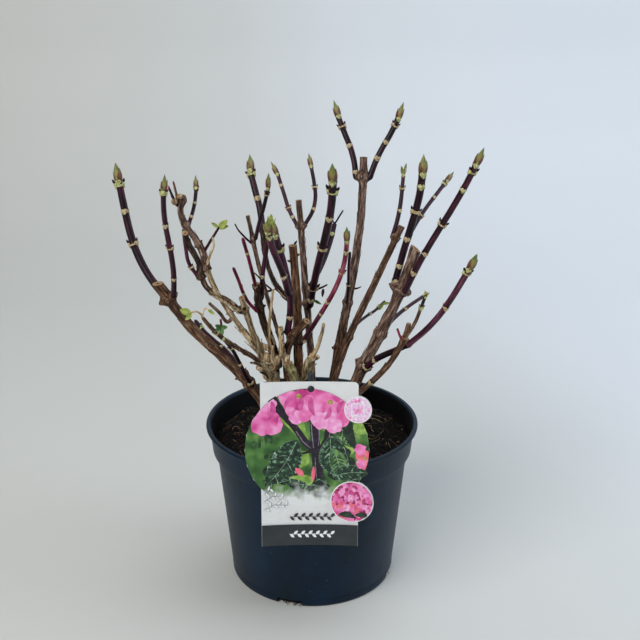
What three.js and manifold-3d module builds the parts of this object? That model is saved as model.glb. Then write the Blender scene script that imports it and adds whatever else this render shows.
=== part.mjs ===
/**
 * A young hydrangea shrub in its nursery pot, in winter: bare old canes, this year's dark shoots with
 * a bud at each tip, the compost it stands in and the card label pinned to a stake at the front rim.
 * Millimetres, +Z up. The origin is the centre of the pot's flat underside and -Y is the front.
 */
import * as THREE from 'three';
import { mergeVertices } from 'three/addons/utils/BufferGeometryUtils.js';
import Module from 'manifold-3d';

const wasm = await Module();
wasm.setup();

// ---- Driving dimensions ----
const CLEARANCE = 0.3;

const POT = {
  height: 176,
  rimRadius: 112.5,
  lipThickness: 3.2,
  bandTopRadius: 108.5,
  bandBottomRadius: 106,
  bandBottom: 146,
  wallTopRadius: 101.8,
  baseRadius: 88.3,
  wall: 1.9,
  floor: 2.5,
  footRing: 8.5,
  footStep: 0.5,
  sides: 40,
};

const NOTCH = { count: 4, first: -106, width: 27, height: 7, depth: 12 };

const COMPOST = { top: 158, edgeDrop: 3 };

const CARD = {
  width: 94,
  height: 166,
  thickness: 1.2,
  hollow: 3.5,
  lean: THREE.MathUtils.degToRad(9),
  middle: -2.5,
  front: -126.5,
  bottom: 100,
  cornerRadius: 4,
};

// The card's round pictures stand out past its straight edges: [across, up, radius]
const CARD_DISCS = { picture: [-2.4, 99.5, 60], spot: [46.4, 139.5, 13.4], bloom: [41, 46, 21.2] };

const STAKE = { x: -1, y: -95.8, radius: 3, top: 272, sides: 12 };

const PIN = { up: 159, radius: 1.1, length: 6, headRadius: 3.2, head: 1.9 };

const LIMB = { segment: 17, thinSides: 6, thickSides: 8, thick: 5, slant: 0.4, leastSteps: 3 };

// A bud's outline as [how far from its point, radius], in bud lengths and shoot widths
const BUD = {
  length: 14,
  lengthPerWidth: 0.8,
  outline: [
    [1.15, 0.5],
    [1, 0.42],
    [0.64, 0.57],
    [0.22, 0.25],
    [0, 0],
  ],
};

const TWIG_END = { length: 0.75, narrowing: 0.5 };

// ---- Materials ----
const surface = (color, roughness) => new THREE.MeshStandardMaterial({ color, roughness, metalness: 0 });
const potPlastic = surface(0x1c2a36, 0.45);
const stakePlastic = surface(0x1b2430, 0.4);
const cardStock = surface(0xe9eaec, 0.5);
const compostMix = surface(0x2a1c14, 1);
const oldBark = surface(0x5f4a3a, 0.9);
const youngBark = surface(0x3a1a2a, 0.55);

// ---- Solids ----
const toSolid = (geometry) => {
  const bare = geometry.index ? geometry.toNonIndexed() : geometry.clone();
  bare.deleteAttribute('normal');
  bare.deleteAttribute('uv');
  const welded = mergeVertices(bare);
  return new wasm.Manifold(
    new wasm.Mesh({
      numProp: 3,
      vertProperties: new Float32Array(welded.attributes.position.array),
      triVerts: new Uint32Array(welded.index.array),
    }),
  );
};

const toGeometry = (solid) => {
  const mesh = solid.getMesh();
  const geometry = new THREE.BufferGeometry();
  geometry.setAttribute('position', new THREE.BufferAttribute(mesh.vertProperties, mesh.numProp));
  geometry.setIndex(new THREE.BufferAttribute(mesh.triVerts, 1));
  return geometry;
};

// A solid of revolution about Z from [radius, height] pairs, listed from the axis round to the axis.
const turned = (profile, sides) => {
  const points = profile.map(([radius, height]) => new THREE.Vector2(radius, height));
  return new THREE.LatheGeometry(points, sides).rotateX(Math.PI / 2);
};

const extruded = (shape, depth, curveSegments = 12) =>
  new THREE.ExtrudeGeometry(shape, { depth, bevelEnabled: false, curveSegments });

const group = new THREE.Group();

const add = (name, geometry, material) => {
  const mesh = new THREE.Mesh(geometry, material);
  mesh.name = name;
  group.add(mesh);
  return mesh;
};

// ---- Pot and compost ----
const innerProfile = () => {
  const { height, rimRadius, lipThickness, bandTopRadius, bandBottomRadius, bandBottom } = POT;
  const { wallTopRadius, baseRadius, wall, floor } = POT;
  return [
    [baseRadius - wall, floor],
    [wallTopRadius - wall, bandBottom - wall],
    [bandBottomRadius - wall, bandBottom + wall],
    [bandTopRadius - wall, height - lipThickness],
    [rimRadius - lipThickness - wall / 2, height],
  ];
};

const pot = () => {
  const { height, rimRadius, lipThickness, bandTopRadius, bandBottomRadius, bandBottom } = POT;
  const { wallTopRadius, baseRadius, footRing, footStep, wall } = POT;
  const outside = [
    [0, 0],
    [baseRadius - wall, 0],
    [baseRadius, wall],
    [baseRadius + footStep, footRing],
    [baseRadius + footStep / 2, footRing + footStep],
    [wallTopRadius, bandBottom - wall],
    [bandBottomRadius, bandBottom],
    [bandTopRadius, height - lipThickness - wall],
    [rimRadius, height - lipThickness],
    [rimRadius, height - wall / 2],
    [rimRadius - wall / 2, height],
  ];
  const inside = innerProfile().reverse();
  const shell = toSolid(turned([...outside, ...inside, [0, POT.floor]], POT.sides));
  const notches = Array.from({ length: NOTCH.count }, (_, i) => {
    const turn = THREE.MathUtils.degToRad(NOTCH.first + (i * 360) / NOTCH.count);
    const block = new THREE.BoxGeometry(2 * NOTCH.depth, NOTCH.width, 2 * NOTCH.height);
    block.translate(baseRadius, 0, 0).rotateZ(turn);
    return toSolid(block);
  });
  return toGeometry(notches.reduce((body, notch) => body.subtract(notch), shell));
};

const compost = () => {
  const { bandBottomRadius, bandTopRadius, bandBottom, wall, height, lipThickness } = POT;
  const [floorEdge, wallTop, bandFoot] = innerProfile();
  const bandSlope = (bandTopRadius - bandBottomRadius) / (height - lipThickness - bandBottom - wall);
  const topRadius = bandFoot[0] + (COMPOST.top - bandFoot[1]) * bandSlope;
  const fit = 2 * CLEARANCE;
  return turned(
    [
      [0, floorEdge[1] + fit],
      [floorEdge[0] - fit, floorEdge[1] + fit],
      [wallTop[0] - fit, wallTop[1]],
      [bandFoot[0] - fit, bandFoot[1] + fit],
      [topRadius - fit, COMPOST.top - COMPOST.edgeDrop],
      [topRadius - 2 * COMPOST.edgeDrop, COMPOST.top],
      [0, COMPOST.top],
    ],
    POT.sides,
  );
};

add('pot', pot(), potPlastic);
add('compost', compost(), compostMix);

// ---- Card label, its stake and pin ----
// The card is a thin sheet hollowed towards the front, cut to a rectangle joined with three discs.
const cardSheet = () => {
  const reach = CARD.width;
  const steps = 20;
  const depthAt = (x) => -CARD.hollow * (x / (CARD.width / 2)) ** 2;
  const across = Array.from({ length: steps + 1 }, (_, i) => -reach + (2 * reach * i) / steps);
  const front = across.map((x) => new THREE.Vector2(x, depthAt(x)));
  const back = across.map((x) => new THREE.Vector2(x, depthAt(x) + CARD.thickness)).reverse();
  return toSolid(extruded(new THREE.Shape([...front, ...back]), CARD.height));
};

const cardOutline = () => {
  const half = CARD.width / 2;
  const { cornerRadius: r, height } = CARD;
  const sheet = new THREE.Shape();
  sheet.moveTo(-half, 0).lineTo(half, 0).lineTo(half, height - r);
  sheet.absarc(half - r, height - r, r, 0, Math.PI / 2).lineTo(-half, height);
  const discs = Object.values(CARD_DISCS).map(([x, y, radius]) => {
    const disc = new THREE.Shape();
    disc.absarc(x, y, radius, 0, 2 * Math.PI);
    return disc;
  });
  const prism = (shape) => {
    const block = extruded(shape, CARD.width);
    return toSolid(block.translate(0, 0, -half).rotateX(Math.PI / 2));
  };
  return discs.reduce((all, disc) => all.add(prism(disc)), prism(sheet));
};

const pinHole = () => {
  const radius = PIN.radius + CLEARANCE;
  const hole = new THREE.CylinderGeometry(radius, radius, CARD.width, STAKE.sides);
  return toSolid(hole.translate(STAKE.x - CARD.middle, 0, PIN.up));
};

const cardSolid = cardSheet().intersect(cardOutline()).subtract(pinHole());
const card = add('label_card', toGeometry(cardSolid), cardStock);
card.rotation.x = -CARD.lean;
card.position.set(CARD.middle, CARD.front, CARD.bottom);

// A round post with a domed top, and the pin that holds the card, with its head in front of it.
const stake = () => {
  const { x, y, radius, top, sides } = STAKE;
  const foot = COMPOST.top + CLEARANCE;
  const post = turned(
    [
      [0, foot],
      [radius, foot],
      [radius, top - radius],
      [0.7 * radius, top - 0.3 * radius],
      [0, top],
    ],
    sides,
  );
  post.translate(x, y, 0);
  const pin = turned(
    [
      [0, -PIN.length],
      [PIN.radius, -PIN.length],
      [PIN.radius, CLEARANCE],
      [PIN.headRadius, CLEARANCE],
      [PIN.headRadius, 0.4 * PIN.head],
      [0.65 * PIN.headRadius, 0.85 * PIN.head],
      [0, PIN.head],
    ],
    sides,
  );
  pin.rotateX(Math.PI / 2 - CARD.lean);
  const higher = PIN.up * Math.cos(CARD.lean);
  const further = PIN.up * Math.sin(CARD.lean);
  pin.translate(x, CARD.front + further, CARD.bottom + higher);
  return toGeometry(toSolid(post).add(toSolid(pin)));
};

add('label_stake', stake(), stakePlastic);

// ---- Limbs ----
// Each limb runs from its start to its tip on a curve: the straight line between them, pushed
// aside at mid-length by `bow` (to the right seen from the front) and `back` (away from the
// front), and swung once right and once left of that by `sway`.
const AWAY = new THREE.Vector3(0, 1, 0);

const curveOf = (start, tip, [bow, back, sway]) => {
  const chord = tip.clone().sub(start);
  const right = AWAY.clone().cross(chord).normalize();
  const at = (t) => {
    const arch = 4 * t * (1 - t);
    const side = bow * arch + sway * Math.sin(2 * Math.PI * t);
    const point = start.clone().addScaledVector(chord, t);
    return point.addScaledVector(right, side).addScaledVector(AWAY, back * arch);
  };
  const heading = (t) => {
    const step = 0.01;
    const ahead = at(Math.min(1, t + step));
    return ahead.sub(at(Math.max(0, t - step))).normalize();
  };
  return { at, heading };
};

const limbs = {};
const radiusAt = (limb, t) => THREE.MathUtils.lerp(limb.width[0], limb.width[1], t) / 2;

// A limb starts on the compost at [x, y], or at a fraction of the way up a parent limb: against
// the parent's side, or on its end face where the fraction is 1.
const startOf = (from, tip, curve, width) => {
  if (typeof from[0] === 'number') return new THREE.Vector3(from[0], from[1], COMPOST.top + CLEARANCE);
  const parent = limbs[from[0]];
  const fraction = from[1];
  const middle = parent.curve.at(fraction);
  const along = parent.curve.heading(fraction);
  const heading = curveOf(middle, tip, curve).heading(0);
  const slope = heading.dot(along);
  const side = heading.clone().addScaledVector(along, -slope).normalize();
  const ownRadius = width[0] / 2;
  if (fraction === 1) {
    return middle.addScaledVector(along, 2 * CLEARANCE + ownRadius * Math.sqrt(1 - slope * slope));
  }
  const clear = radiusAt(parent, fraction) + ownRadius * Math.abs(slope) + 2 * CLEARANCE;
  return middle.addScaledVector(side, clear);
};

// [radius, fraction of the way along] pairs for each kind of end, from a limb's width and length.
const endings = {
  bud: (width, length) => {
    const share = (BUD.length + BUD.lengthPerWidth * width) / length;
    return BUD.outline.map(([fromPoint, radius]) => [radius * width, 1 - share * fromPoint]);
  },
  cut: (width) => [
    [width / 2, 1],
    [0, 1],
  ],
  twig: (width, length) => [
    [width / 2, 1 - (TWIG_END.length * width) / length],
    [(TWIG_END.narrowing * width) / 2, 1],
    [0, 1],
  ],
};

const limbGeometry = (curve, width, end, grounded) => {
  const length = curve.at(0).distanceTo(curve.at(0.5)) + curve.at(0.5).distanceTo(curve.at(1));
  const slanted = end === 'slant';
  const ending = endings[slanted ? 'cut' : end](width[1], length);
  const lastFraction = ending[0][1];
  const steps = Math.max(LIMB.leastSteps, Math.round((length * lastFraction) / LIMB.segment));
  const profile = [[0, 0]];
  for (let i = 0; i < steps; i += 1) {
    const t = (lastFraction * i) / steps;
    profile.push([THREE.MathUtils.lerp(width[0], width[1], t) / 2, t]);
  }
  profile.push(...ending);
  const sides = width[0] < LIMB.thick ? LIMB.thinSides : LIMB.thickSides;
  const points = profile.map(([radius, t]) => new THREE.Vector2(radius, t));
  const geometry = new THREE.LatheGeometry(points, sides);
  const across = new THREE.Vector3(1, 0, 0);
  const frames = profile.map(([, t]) => {
    const along = curve.heading(t);
    across.addScaledVector(along, -across.dot(along)).normalize();
    return { middle: curve.at(t), along, across: across.clone(), other: across.clone().cross(along) };
  });
  const position = geometry.attributes.position;
  const lastRing = profile.length - 2;
  for (let i = 0; i < position.count; i += 1) {
    const ring = i % profile.length;
    const { middle, along, across: first, other } = frames[ring];
    const x = position.getX(i);
    const z = position.getZ(i);
    const point = middle.clone().addScaledVector(first, x).addScaledVector(other, z);
    if (slanted && ring === lastRing) point.addScaledVector(along, -x * LIMB.slant);
    if (grounded && ring <= 1) point.addScaledVector(along, (middle.z - point.z) / along.z);
    position.setXYZ(i, point.x, point.y, point.z);
  }
  return geometry;
};

const limb = (name, from, tipPoint, curve, width, end) => {
  const tip = new THREE.Vector3(...tipPoint);
  const line = curveOf(startOf(from, tip, curve, width), tip, curve);
  const grounded = typeof from[0] === 'number';
  limbs[name] = { curve: line, width };
  add(name, limbGeometry(line, width, end, grounded), name.startsWith('shoot') ? youngBark : oldBark);
};

// name, [x, y] on the compost or [parent, fraction], tip, [bow, back, sway], [foot, tip] width, end

// Left: a woody foot with four canes, and the long low cane beside it
limb('cane_left_foot', [-29, -1], [-47, -4, 244], [5, 0, 2], [17, 13], 'cut');
limb('cane_far_left', [-36, -14], [-152, -32, 340], [8, 0, 6], [11, 10], 'slant');
limb('shoot_far_left', ['cane_far_left', 0.91], [-194, 15, 451], [-12, 4, -2], [8, 7], 'bud');
limb('shoot_left_front', ['cane_far_left', 0.91], [-134, -72, 460], [0, -8, 2.5], [5.5, 5], 'bud');
limb('shoot_left_behind', ['cane_far_left', 0.39], [-127, 58, 267], [0, 6, 2], [5.5, 4.5], 'twig');
limb('twig_left_black', ['cane_far_left', 0.34], [-87, -58, 292], [1, 0, -1], [4.5, 3.5], 'twig');
limb('cane_left_low', ['cane_left_foot', 0.84], [-103, -92, 327], [4.5, -10, 3.5], [5.5, 3.4], 'twig');
limb('cane_left_middle', ['cane_left_foot', 1], [-111, 45, 331], [-5, 0, 1], [5.6, 5], 'cut');
limb('cane_left_upper', ['cane_left_middle', 1], [-135, 62, 406], [-4.5, 0, 4.5], [8, 6], 'cut');
limb('shoot_left_upper', ['cane_left_upper', 0.6], [-124, 98, 419], [3, 0, 0], [4, 4], 'bud');
limb('cane_left_olive', ['cane_left_foot', 0.97], [-69, -40, 328], [-1, 0, 0], [6.4, 6], 'cut');
limb('cane_left_inner', ['cane_left_olive', 0.85], [-106, -62, 359], [-3.5, 0, 2.5], [5.5, 5], 'cut');
limb('cane_left_dark', ['cane_left_inner', 1], [-115, -96, 410], [1, 0, 1.5], [6, 5.5], 'cut');
limb('shoot_left_slim', ['cane_left_inner', 0.95], [-121, -58, 403], [-4, 0, -1], [3.8, 3.4], 'twig');
limb('cane_left_stub', ['cane_left_foot', 0.93], [-56, -6, 331], [-3, 0, 1], [8, 6.5], 'cut');
limb('shoot_crimson', ['cane_left_stub', 0.97], [-65, -62, 395], [0.5, 0, 0], [3.8, 3.4], 'twig');
limb('shoot_black_tip', ['cane_left_stub', 0.7], [-76, -44, 360], [-3, 0, -1], [3.5, 3.2], 'twig');
limb('shoot_left_inner', ['cane_left_stub', 0.81], [-46, 14, 396], [1.5, 0, -1.5], [4.8, 4.6], 'bud');
limb('cane_slim', [-16, 16], [-65, 26, 393], [2.5, 0, 2.5], [5, 4.2], 'cut');
limb('shoot_slim', ['cane_slim', 0.9], [-42, 4, 443], [2, 0, -1], [4, 3.8], 'bud');

// Centre: the thick stub with its forks, the crossing cane and the twin canes behind
limb('cane_centre_stub', [-5, 4], [-19, -6, 371], [-2.5, 0, -2], [11, 8], 'cut');
limb('cane_back_left', ['cane_centre_stub', 0.7], [-52, 62, 370], [-10, 0, -1], [5.5, 5], 'cut');
limb('shoot_back_left', ['cane_back_left', 1], [-66, 104, 440], [-1, 0, 1.5], [7, 6.8], 'bud');
limb('stub_olive', [-4, -16], [-24, -24, 251], [1, 0, -1.5], [10, 9], 'cut');
limb('cane_crossing', [-17, -12], [-5, -24, 297], [-14, 12, 6], [8.5, 8], 'cut');
limb('shoot_centre_left', ['cane_crossing', 0.86], [-39, -52, 412], [7.5, 0, 1.5], [7, 6.5], 'bud');
limb('shoot_centre_front', ['shoot_centre_left', 0.39], [-39, -88, 424], [-3, 0, 2], [6.5, 6.5], 'bud');
limb('cane_centre', [2, 17], [-13, 42, 405], [1.5, 0, 0.5], [8, 6], 'cut');
limb('shoot_fork_left', ['cane_centre', 0.89], [-43, 82, 437], [0, 0, -1.5], [4.2, 4], 'bud');
limb('shoot_fork_right', ['cane_centre', 0.89], [-3, 96, 443], [9, 0, 2], [4.2, 4], 'bud');
limb('shoot_centre_tall', ['cane_centre', 0.56], [20, -34, 461], [4.5, 0, -2], [7.6, 8], 'bud');
limb('shoot_centre_back', ['cane_centre', 0.62], [25, 88, 366], [3.5, 0, 0], [5.5, 5], 'cut');
limb('shoot_red', ['cane_centre_stub', 0.51], [32, -104, 419], [10, -8, -2], [4.8, 4.6], 'bud');
limb('stub_tan', ['cane_centre_stub', 0.33], [2, -12, 254], [-1.5, 0, 0], [7.5, 7], 'cut');
limb('cane_tall', [15, 13], [56, 100, 437], [5, 0, -2.5], [10, 8], 'cut');
limb('shoot_top_left', ['cane_tall', 0.93], [24, 124, 494], [2, 0, 1.5], [6.5, 6], 'bud');
limb('shoot_top_right', ['cane_tall', 0.93], [98, 106, 495], [0.5, 0, -1.5], [6.5, 6], 'bud');
limb('twig_tall_cane', ['cane_tall', 0.47], [40, 32, 352], [0, 0, 0.5], [3.2, 3], 'twig');

// Right: a slim cane, a thick one with three strong shoots, and two low canes towards the front
limb('cane_right_slim', [16, 1], [96, 66, 370], [-12, 0, -3], [8, 6.5], 'cut');
limb('shoot_right_slim', ['cane_right_slim', 0.94], [100, 104, 433], [3, 0, 0.5], [5, 4], 'bud');
limb('twig_right_curled', ['cane_right_slim', 0.45], [81, 82, 280], [-3, 0, -2], [3.4, 3], 'twig');
limb('cane_right_thick', [27, -8], [103, -22, 372], [-2, 0, -3.5], [12, 11], 'slant');
limb('shoot_right_upright', ['cane_right_thick', 0.8], [109, -8, 464], [4, 0, -1.5], [7, 7.4], 'bud');
limb('shoot_right_side', ['shoot_right_upright', 0.4], [148, 60, 431], [-1.5, 0, -0.5], [4.2, 4], 'bud');
limb('shoot_far_right_tall', ['cane_right_thick', 0.8], [159, -62, 482], [0.5, 0, -1.5], [6.5, 6], 'bud');
limb('cane_right_low', ['cane_right_thick', 0.4], [95, -62, 287], [-2.5, 0, -1], [6.5, 6], 'cut');
limb('shoot_far_right_low', ['cane_right_low', 1], [150, -112, 395], [6.5, 0, 1], [6, 6], 'bud');
limb('cane_right_front', [31, -22], [89, -88, 304], [-11.5, -4, -7], [6.5, 5.5], 'cut');
limb('shoot_right_front', ['cane_right_front', 1], [107, -96, 352], [2, 0, 0.5], [3.4, 3.2], 'bud');
limb('twig_right_dark', ['cane_right_thick', 0.57], [125, 62, 295], [-3.5, 0, -0.5], [4.4, 3.6], 'twig');

export default group;
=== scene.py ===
"""Looks for a potted hydrangea in winter: bark, shoots, joints, buds, compost, pot and card.

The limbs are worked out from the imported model, and the pot, compost, stake and card share its sizes.
Lengths are in millimetres until a mesh is stored.
"""

import math
import random

import bmesh
import bpy
import numpy as np
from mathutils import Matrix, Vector, noise


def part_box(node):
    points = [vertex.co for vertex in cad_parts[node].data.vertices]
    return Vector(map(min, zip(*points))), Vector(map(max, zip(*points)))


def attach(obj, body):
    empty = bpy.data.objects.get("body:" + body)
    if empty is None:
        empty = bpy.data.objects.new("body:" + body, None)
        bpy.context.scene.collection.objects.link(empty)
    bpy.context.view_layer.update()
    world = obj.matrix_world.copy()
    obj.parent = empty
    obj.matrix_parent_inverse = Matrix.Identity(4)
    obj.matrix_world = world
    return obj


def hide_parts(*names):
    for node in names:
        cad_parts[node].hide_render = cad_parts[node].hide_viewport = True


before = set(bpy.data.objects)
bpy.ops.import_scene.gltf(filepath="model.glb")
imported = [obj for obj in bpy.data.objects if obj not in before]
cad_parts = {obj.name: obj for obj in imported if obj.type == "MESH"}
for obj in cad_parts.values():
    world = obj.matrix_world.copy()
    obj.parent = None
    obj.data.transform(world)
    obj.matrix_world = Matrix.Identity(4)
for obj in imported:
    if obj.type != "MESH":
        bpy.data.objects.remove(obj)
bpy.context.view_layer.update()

MM = 0.001
TAU = 2 * math.pi
FRONT = np.array((0.0, -1.0, 0.0))
UP = np.array((0.0, 0.0, 1.0))
RIGHT = np.array((1.0, 0.0, 0.0))


def new_object(name, data):
    made = bpy.data.objects.new(name, data)
    bpy.context.scene.collection.objects.link(made)
    return made


def unit(vector):
    """The vector, or each row of vectors, at length 1."""
    return vector / np.maximum(np.linalg.norm(vector, axis=-1, keepdims=True), 1e-9)


def square_to(vector, axis):
    """The direction of the vector once its part along the axis is taken out."""
    return unit(vector - axis * (vector @ axis))


def turns(sides):
    return np.arange(sides) * TAU / sides


def around(front, side, turn):
    """The direction at a turn, or at each of several, about a line whose front and side are given."""
    turn = np.asarray(turn)[..., None]
    return front * np.cos(turn) + side * np.sin(turn)


def wander(x, y, z):
    return noise.noise(Vector((x, y, z)))


def wander_round(turn, size, z, seed=0.0):
    """Noise that meets itself after a full turn."""
    return wander(math.cos(turn) * size + seed, math.sin(turn) * size, z)


# ---- Camera ----
CAMERA_PLACE = (0, -1.061, 0.691)
CAMERA_DOWN, CAMERA_TURN = 20.76, -0.46


def add_camera():
    data = bpy.data.cameras.new("camera")
    data.sensor_width, data.lens = 36, 61.875
    data.clip_start, data.clip_end = 0.05, 30
    camera = new_object("camera", data)
    camera.location = CAMERA_PLACE
    camera.rotation_euler = (math.radians(90 - CAMERA_DOWN), 0, math.radians(CAMERA_TURN))
    bpy.context.scene.camera = camera


add_camera()


# ---- Materials ----
def hex_colour(text):
    """A linear colour from a six-digit screen colour."""
    parts = [int(text[i : i + 2], 16) / 255 for i in (0, 2, 4)]
    linear = [c / 12.92 if c <= 0.04045 else ((c + 0.055) / 1.055) ** 2.4 for c in parts]
    return (*linear, 1)


class Tree:
    """A material's node tree, with short ways to add the nodes that these looks need."""

    def __init__(self, name):
        self.material = bpy.data.materials.new(name)
        self.material.use_nodes = True
        self.tree = self.material.node_tree
        self.shader = self.tree.nodes["Principled BSDF"]

    def node(self, kind, **values):
        made = self.tree.nodes.new(kind)
        for key, value in values.items():
            setattr(made, key, value)
        return made

    def link(self, output, socket):
        self.tree.links.new(output, socket)

    def place(self, grain):
        """Coordinates in millimetres: along the limb's own grain, or the object's own."""
        if grain:
            return self.node("ShaderNodeAttribute", attribute_name="grain").outputs["Vector"]
        scale = self.node("ShaderNodeVectorMath", operation="SCALE")
        scale.inputs["Scale"].default_value = 1 / MM
        self.link(self.node("ShaderNodeTexCoord").outputs["Object"], scale.inputs[0])
        return scale.outputs[0]

    def noise(self, place, size, stretch=1.0, detail=4.0, rough=0.6):
        mapping = self.node("ShaderNodeMapping")
        mapping.inputs["Scale"].default_value = (1 / size, 1 / size, 1 / (size * stretch))
        self.link(place, mapping.inputs["Vector"])
        made = self.node("ShaderNodeTexNoise")
        made.inputs["Scale"].default_value = 1
        made.inputs["Detail"].default_value = detail
        made.inputs["Roughness"].default_value = rough
        self.link(mapping.outputs[0], made.inputs["Vector"])
        return made.outputs[0]

    def ramp(self, factor, stops):
        made = self.node("ShaderNodeValToRGB")
        elements = made.color_ramp.elements
        while len(elements) < len(stops):
            elements.new(0.5)
        for element, (position, colour) in zip(elements, stops):
            element.position = position
            element.color = hex_colour(colour)
        self.link(factor, made.inputs[0])
        return made.outputs[0]

    def span(self, factor, low, high, source=(0.3, 0.7)):
        made = self.node("ShaderNodeMapRange")
        numbers = (*source, low, high)
        for socket, value in zip(("From Min", "From Max", "To Min", "To Max"), numbers):
            made.inputs[socket].default_value = value
        self.link(factor, made.inputs["Value"])
        return made.outputs[0]

    def mix(self, factor, first, second, blend="MIX"):
        made = self.node("ShaderNodeMix", data_type="RGBA", blend_type=blend)
        colours = [s for s in made.inputs if s.type == "RGBA"]
        for value, socket in ((factor, made.inputs[0]), (first, colours[0]), (second, colours[1])):
            if isinstance(value, (float, int, tuple)):
                socket.default_value = value
            else:
                self.link(value, socket)
        return next(s for s in made.outputs if s.type == "RGBA")

    def part(self, place, number):
        parts = self.node("ShaderNodeSeparateXYZ")
        self.link(place, parts.inputs[0])
        return parts.outputs[number]

    def sum(self, first, second):
        made = self.node("ShaderNodeMath", operation="ADD")
        self.link(first, made.inputs[0])
        self.link(second, made.inputs[1])
        return made.outputs[0]

    def shaded(self, colour, small, shade):
        """The colour, darker and lighter with a fine noise."""
        light = self.node("ShaderNodeCombineColor")
        amount = self.span(small, *shade)
        for socket in light.inputs:
            self.link(amount, socket)
        return self.mix(1.0, colour, light.outputs[0], "MULTIPLY")

    def complete(self, colour, small, roughness, relief, sockets=()):
        """Joins the colour to the shader, with roughness and relief from the fine noise."""
        self.link(colour, self.shader.inputs["Base Color"])
        self.link(self.span(small, *roughness), self.shader.inputs["Roughness"])
        bump = self.node("ShaderNodeBump")
        bump.inputs["Distance"].default_value = relief * MM
        self.link(small, bump.inputs["Height"])
        self.link(bump.outputs[0], self.shader.inputs["Normal"])
        for socket, value in dict(sockets).items():
            self.shader.inputs[socket.replace("_", " ")].default_value = value
        return self.material


def tones(text, *places):
    """Stops for a ramp: colours in a row, and their places, which are even from 0.3 to 0.7 if not given."""
    colours = text.split()
    return list(zip(places or np.linspace(0.3, 0.7, len(colours)), colours))


def patterned(name, stops, size=6.0, stretch=1.0, fine=0.8, shade=(0.75, 1.2), roughness=(0.4, 0.7),
              relief=0.15, specks=None, grain=True, **sockets):
    """A material whose colour wanders over `stops`, with a finer shading, relief and specks.

    `size` and `fine` are in millimetres, `stretch` lengthens both along the grain, and `specks` is
    (colour, size, how rare from 0 to 1).
    """
    tree = Tree(name)
    place = tree.place(grain)
    broad = tree.noise(place, size, stretch)
    small = tree.noise(place, fine, stretch, detail=3)
    colour = tree.shaded(tree.ramp(broad, stops), small, shade)
    if specks:
        speck_colour, speck_size, rarity = specks
        dots = tree.noise(place, speck_size, 1.0, detail=1)
        factor = tree.span(dots, 0, 1, (rarity, rarity + 0.04))
        colour = tree.mix(factor, colour, hex_colour(speck_colour))
    return tree.complete(colour, small, roughness, relief, sockets)


def bark(name, text):
    return patterned(
        "bark_" + name, tones(text, 0.33, 0.45, 0.55, 0.67), size=2.0, stretch=7, fine=0.45,
        shade=(0.55, 1.3), roughness=(0.75, 0.95), relief=0.5, Specular_IOR_Level=0.3,
    )


def skin(name, text):
    return patterned(
        "skin_" + name, tones(text, 0.38, 0.52, 0.68), size=3.5, stretch=7, fine=0.35, shade=(0.8, 1.2),
        roughness=(0.27, 0.43), relief=0.07, specks=(text.split()[-1], 0.8, 0.72),
        Specular_IOR_Level=0.26,
    )


BARKS = {
    "brown": "1f130b 483122 6a4b37 957963",
    "grey": "241914 4f3c31 7c6154 ae9587",
    "dark": "110b08 261912 3e2c1f 6e5847",
    "tan": "46362a 7e674d ab9372 d6c3a0",
    "rust": "26160e 523726 7c573c ac8662",
    "straw": "75593c b39672 d9c29a f2e6cc",
    "olive": "332a1b 6c6041 948a60 bcb08a",
}
YOUNG = {
    "black": "0d0208 1f0614 48142e",
    "purple": "180510 2e0b1c 5c213c",
    "plum": "270a18 481930 783f56",
    "crimson": "3c0618 6e1030 983450",
    "pink": "561428 84304a b87074",
}
LOOKS = {name: bark(name, text) for name, text in BARKS.items()}
LOOKS.update({name: skin(name, text) for name, text in YOUNG.items()})
JOINT_CREAM = patterned(
    "joint_cream", tones("7a6344 b39f74 ddd0ac", 0.36, 0.5, 0.64), size=1.4, fine=0.4,
    roughness=(0.5, 0.8), relief=0.15,
)
JOINT_GREEN = patterned(
    "joint_green", tones("777a44 abab6c d6d6a6", 0.36, 0.5, 0.64), size=1.6, fine=0.4,
    roughness=(0.45, 0.7), relief=0.12,
)
BUD_GREEN = patterned(
    "bud_green", tones("55602a 7c823e a4a465", 0.36, 0.5, 0.64), size=2.2, stretch=4, fine=0.35,
    roughness=(0.35, 0.6), relief=0.1,
)
BUD_RISE = 10.0


def bud_scale(name, stops):
    """A bud scale's colour from its foot to its point, BUD_RISE up the grain's third direction."""
    tree = Tree(name)
    place = tree.place(True)
    small = tree.noise(place, 0.5, 3.0, detail=3)
    uneven = tree.span(tree.noise(place, 2.0, 2.0), -1.6, 1.6)
    reach = tree.span(tree.sum(tree.part(place, 2), uneven), 0, 1, (0, BUD_RISE))
    return tree.complete(tree.shaded(tree.ramp(reach, stops), small, (0.75, 1.25)), small, (0.35, 0.6), 0.15)


BUD_SIDE = bud_scale("bud_side", tones("431c18 623426 7e623c 73763c", 0.0, 0.3, 0.6, 0.9))
BUD_FRONT = bud_scale("bud_front", tones("6c4834 806844 828044 56642c", 0.05, 0.25, 0.5, 0.88))
CUT_WOOD = patterned(
    "cut_wood", tones("705539 9f7e5a c6a985"), size=1.2, fine=0.3, shade=(0.65, 1.15),
    roughness=(0.8, 0.95), relief=0.35,
)
PITH = patterned(
    "pith", tones("3b2616 7d5a3a", 0.35, 0.65), size=0.8, fine=0.3, roughness=(0.9, 1.0), relief=0.3,
)


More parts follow.
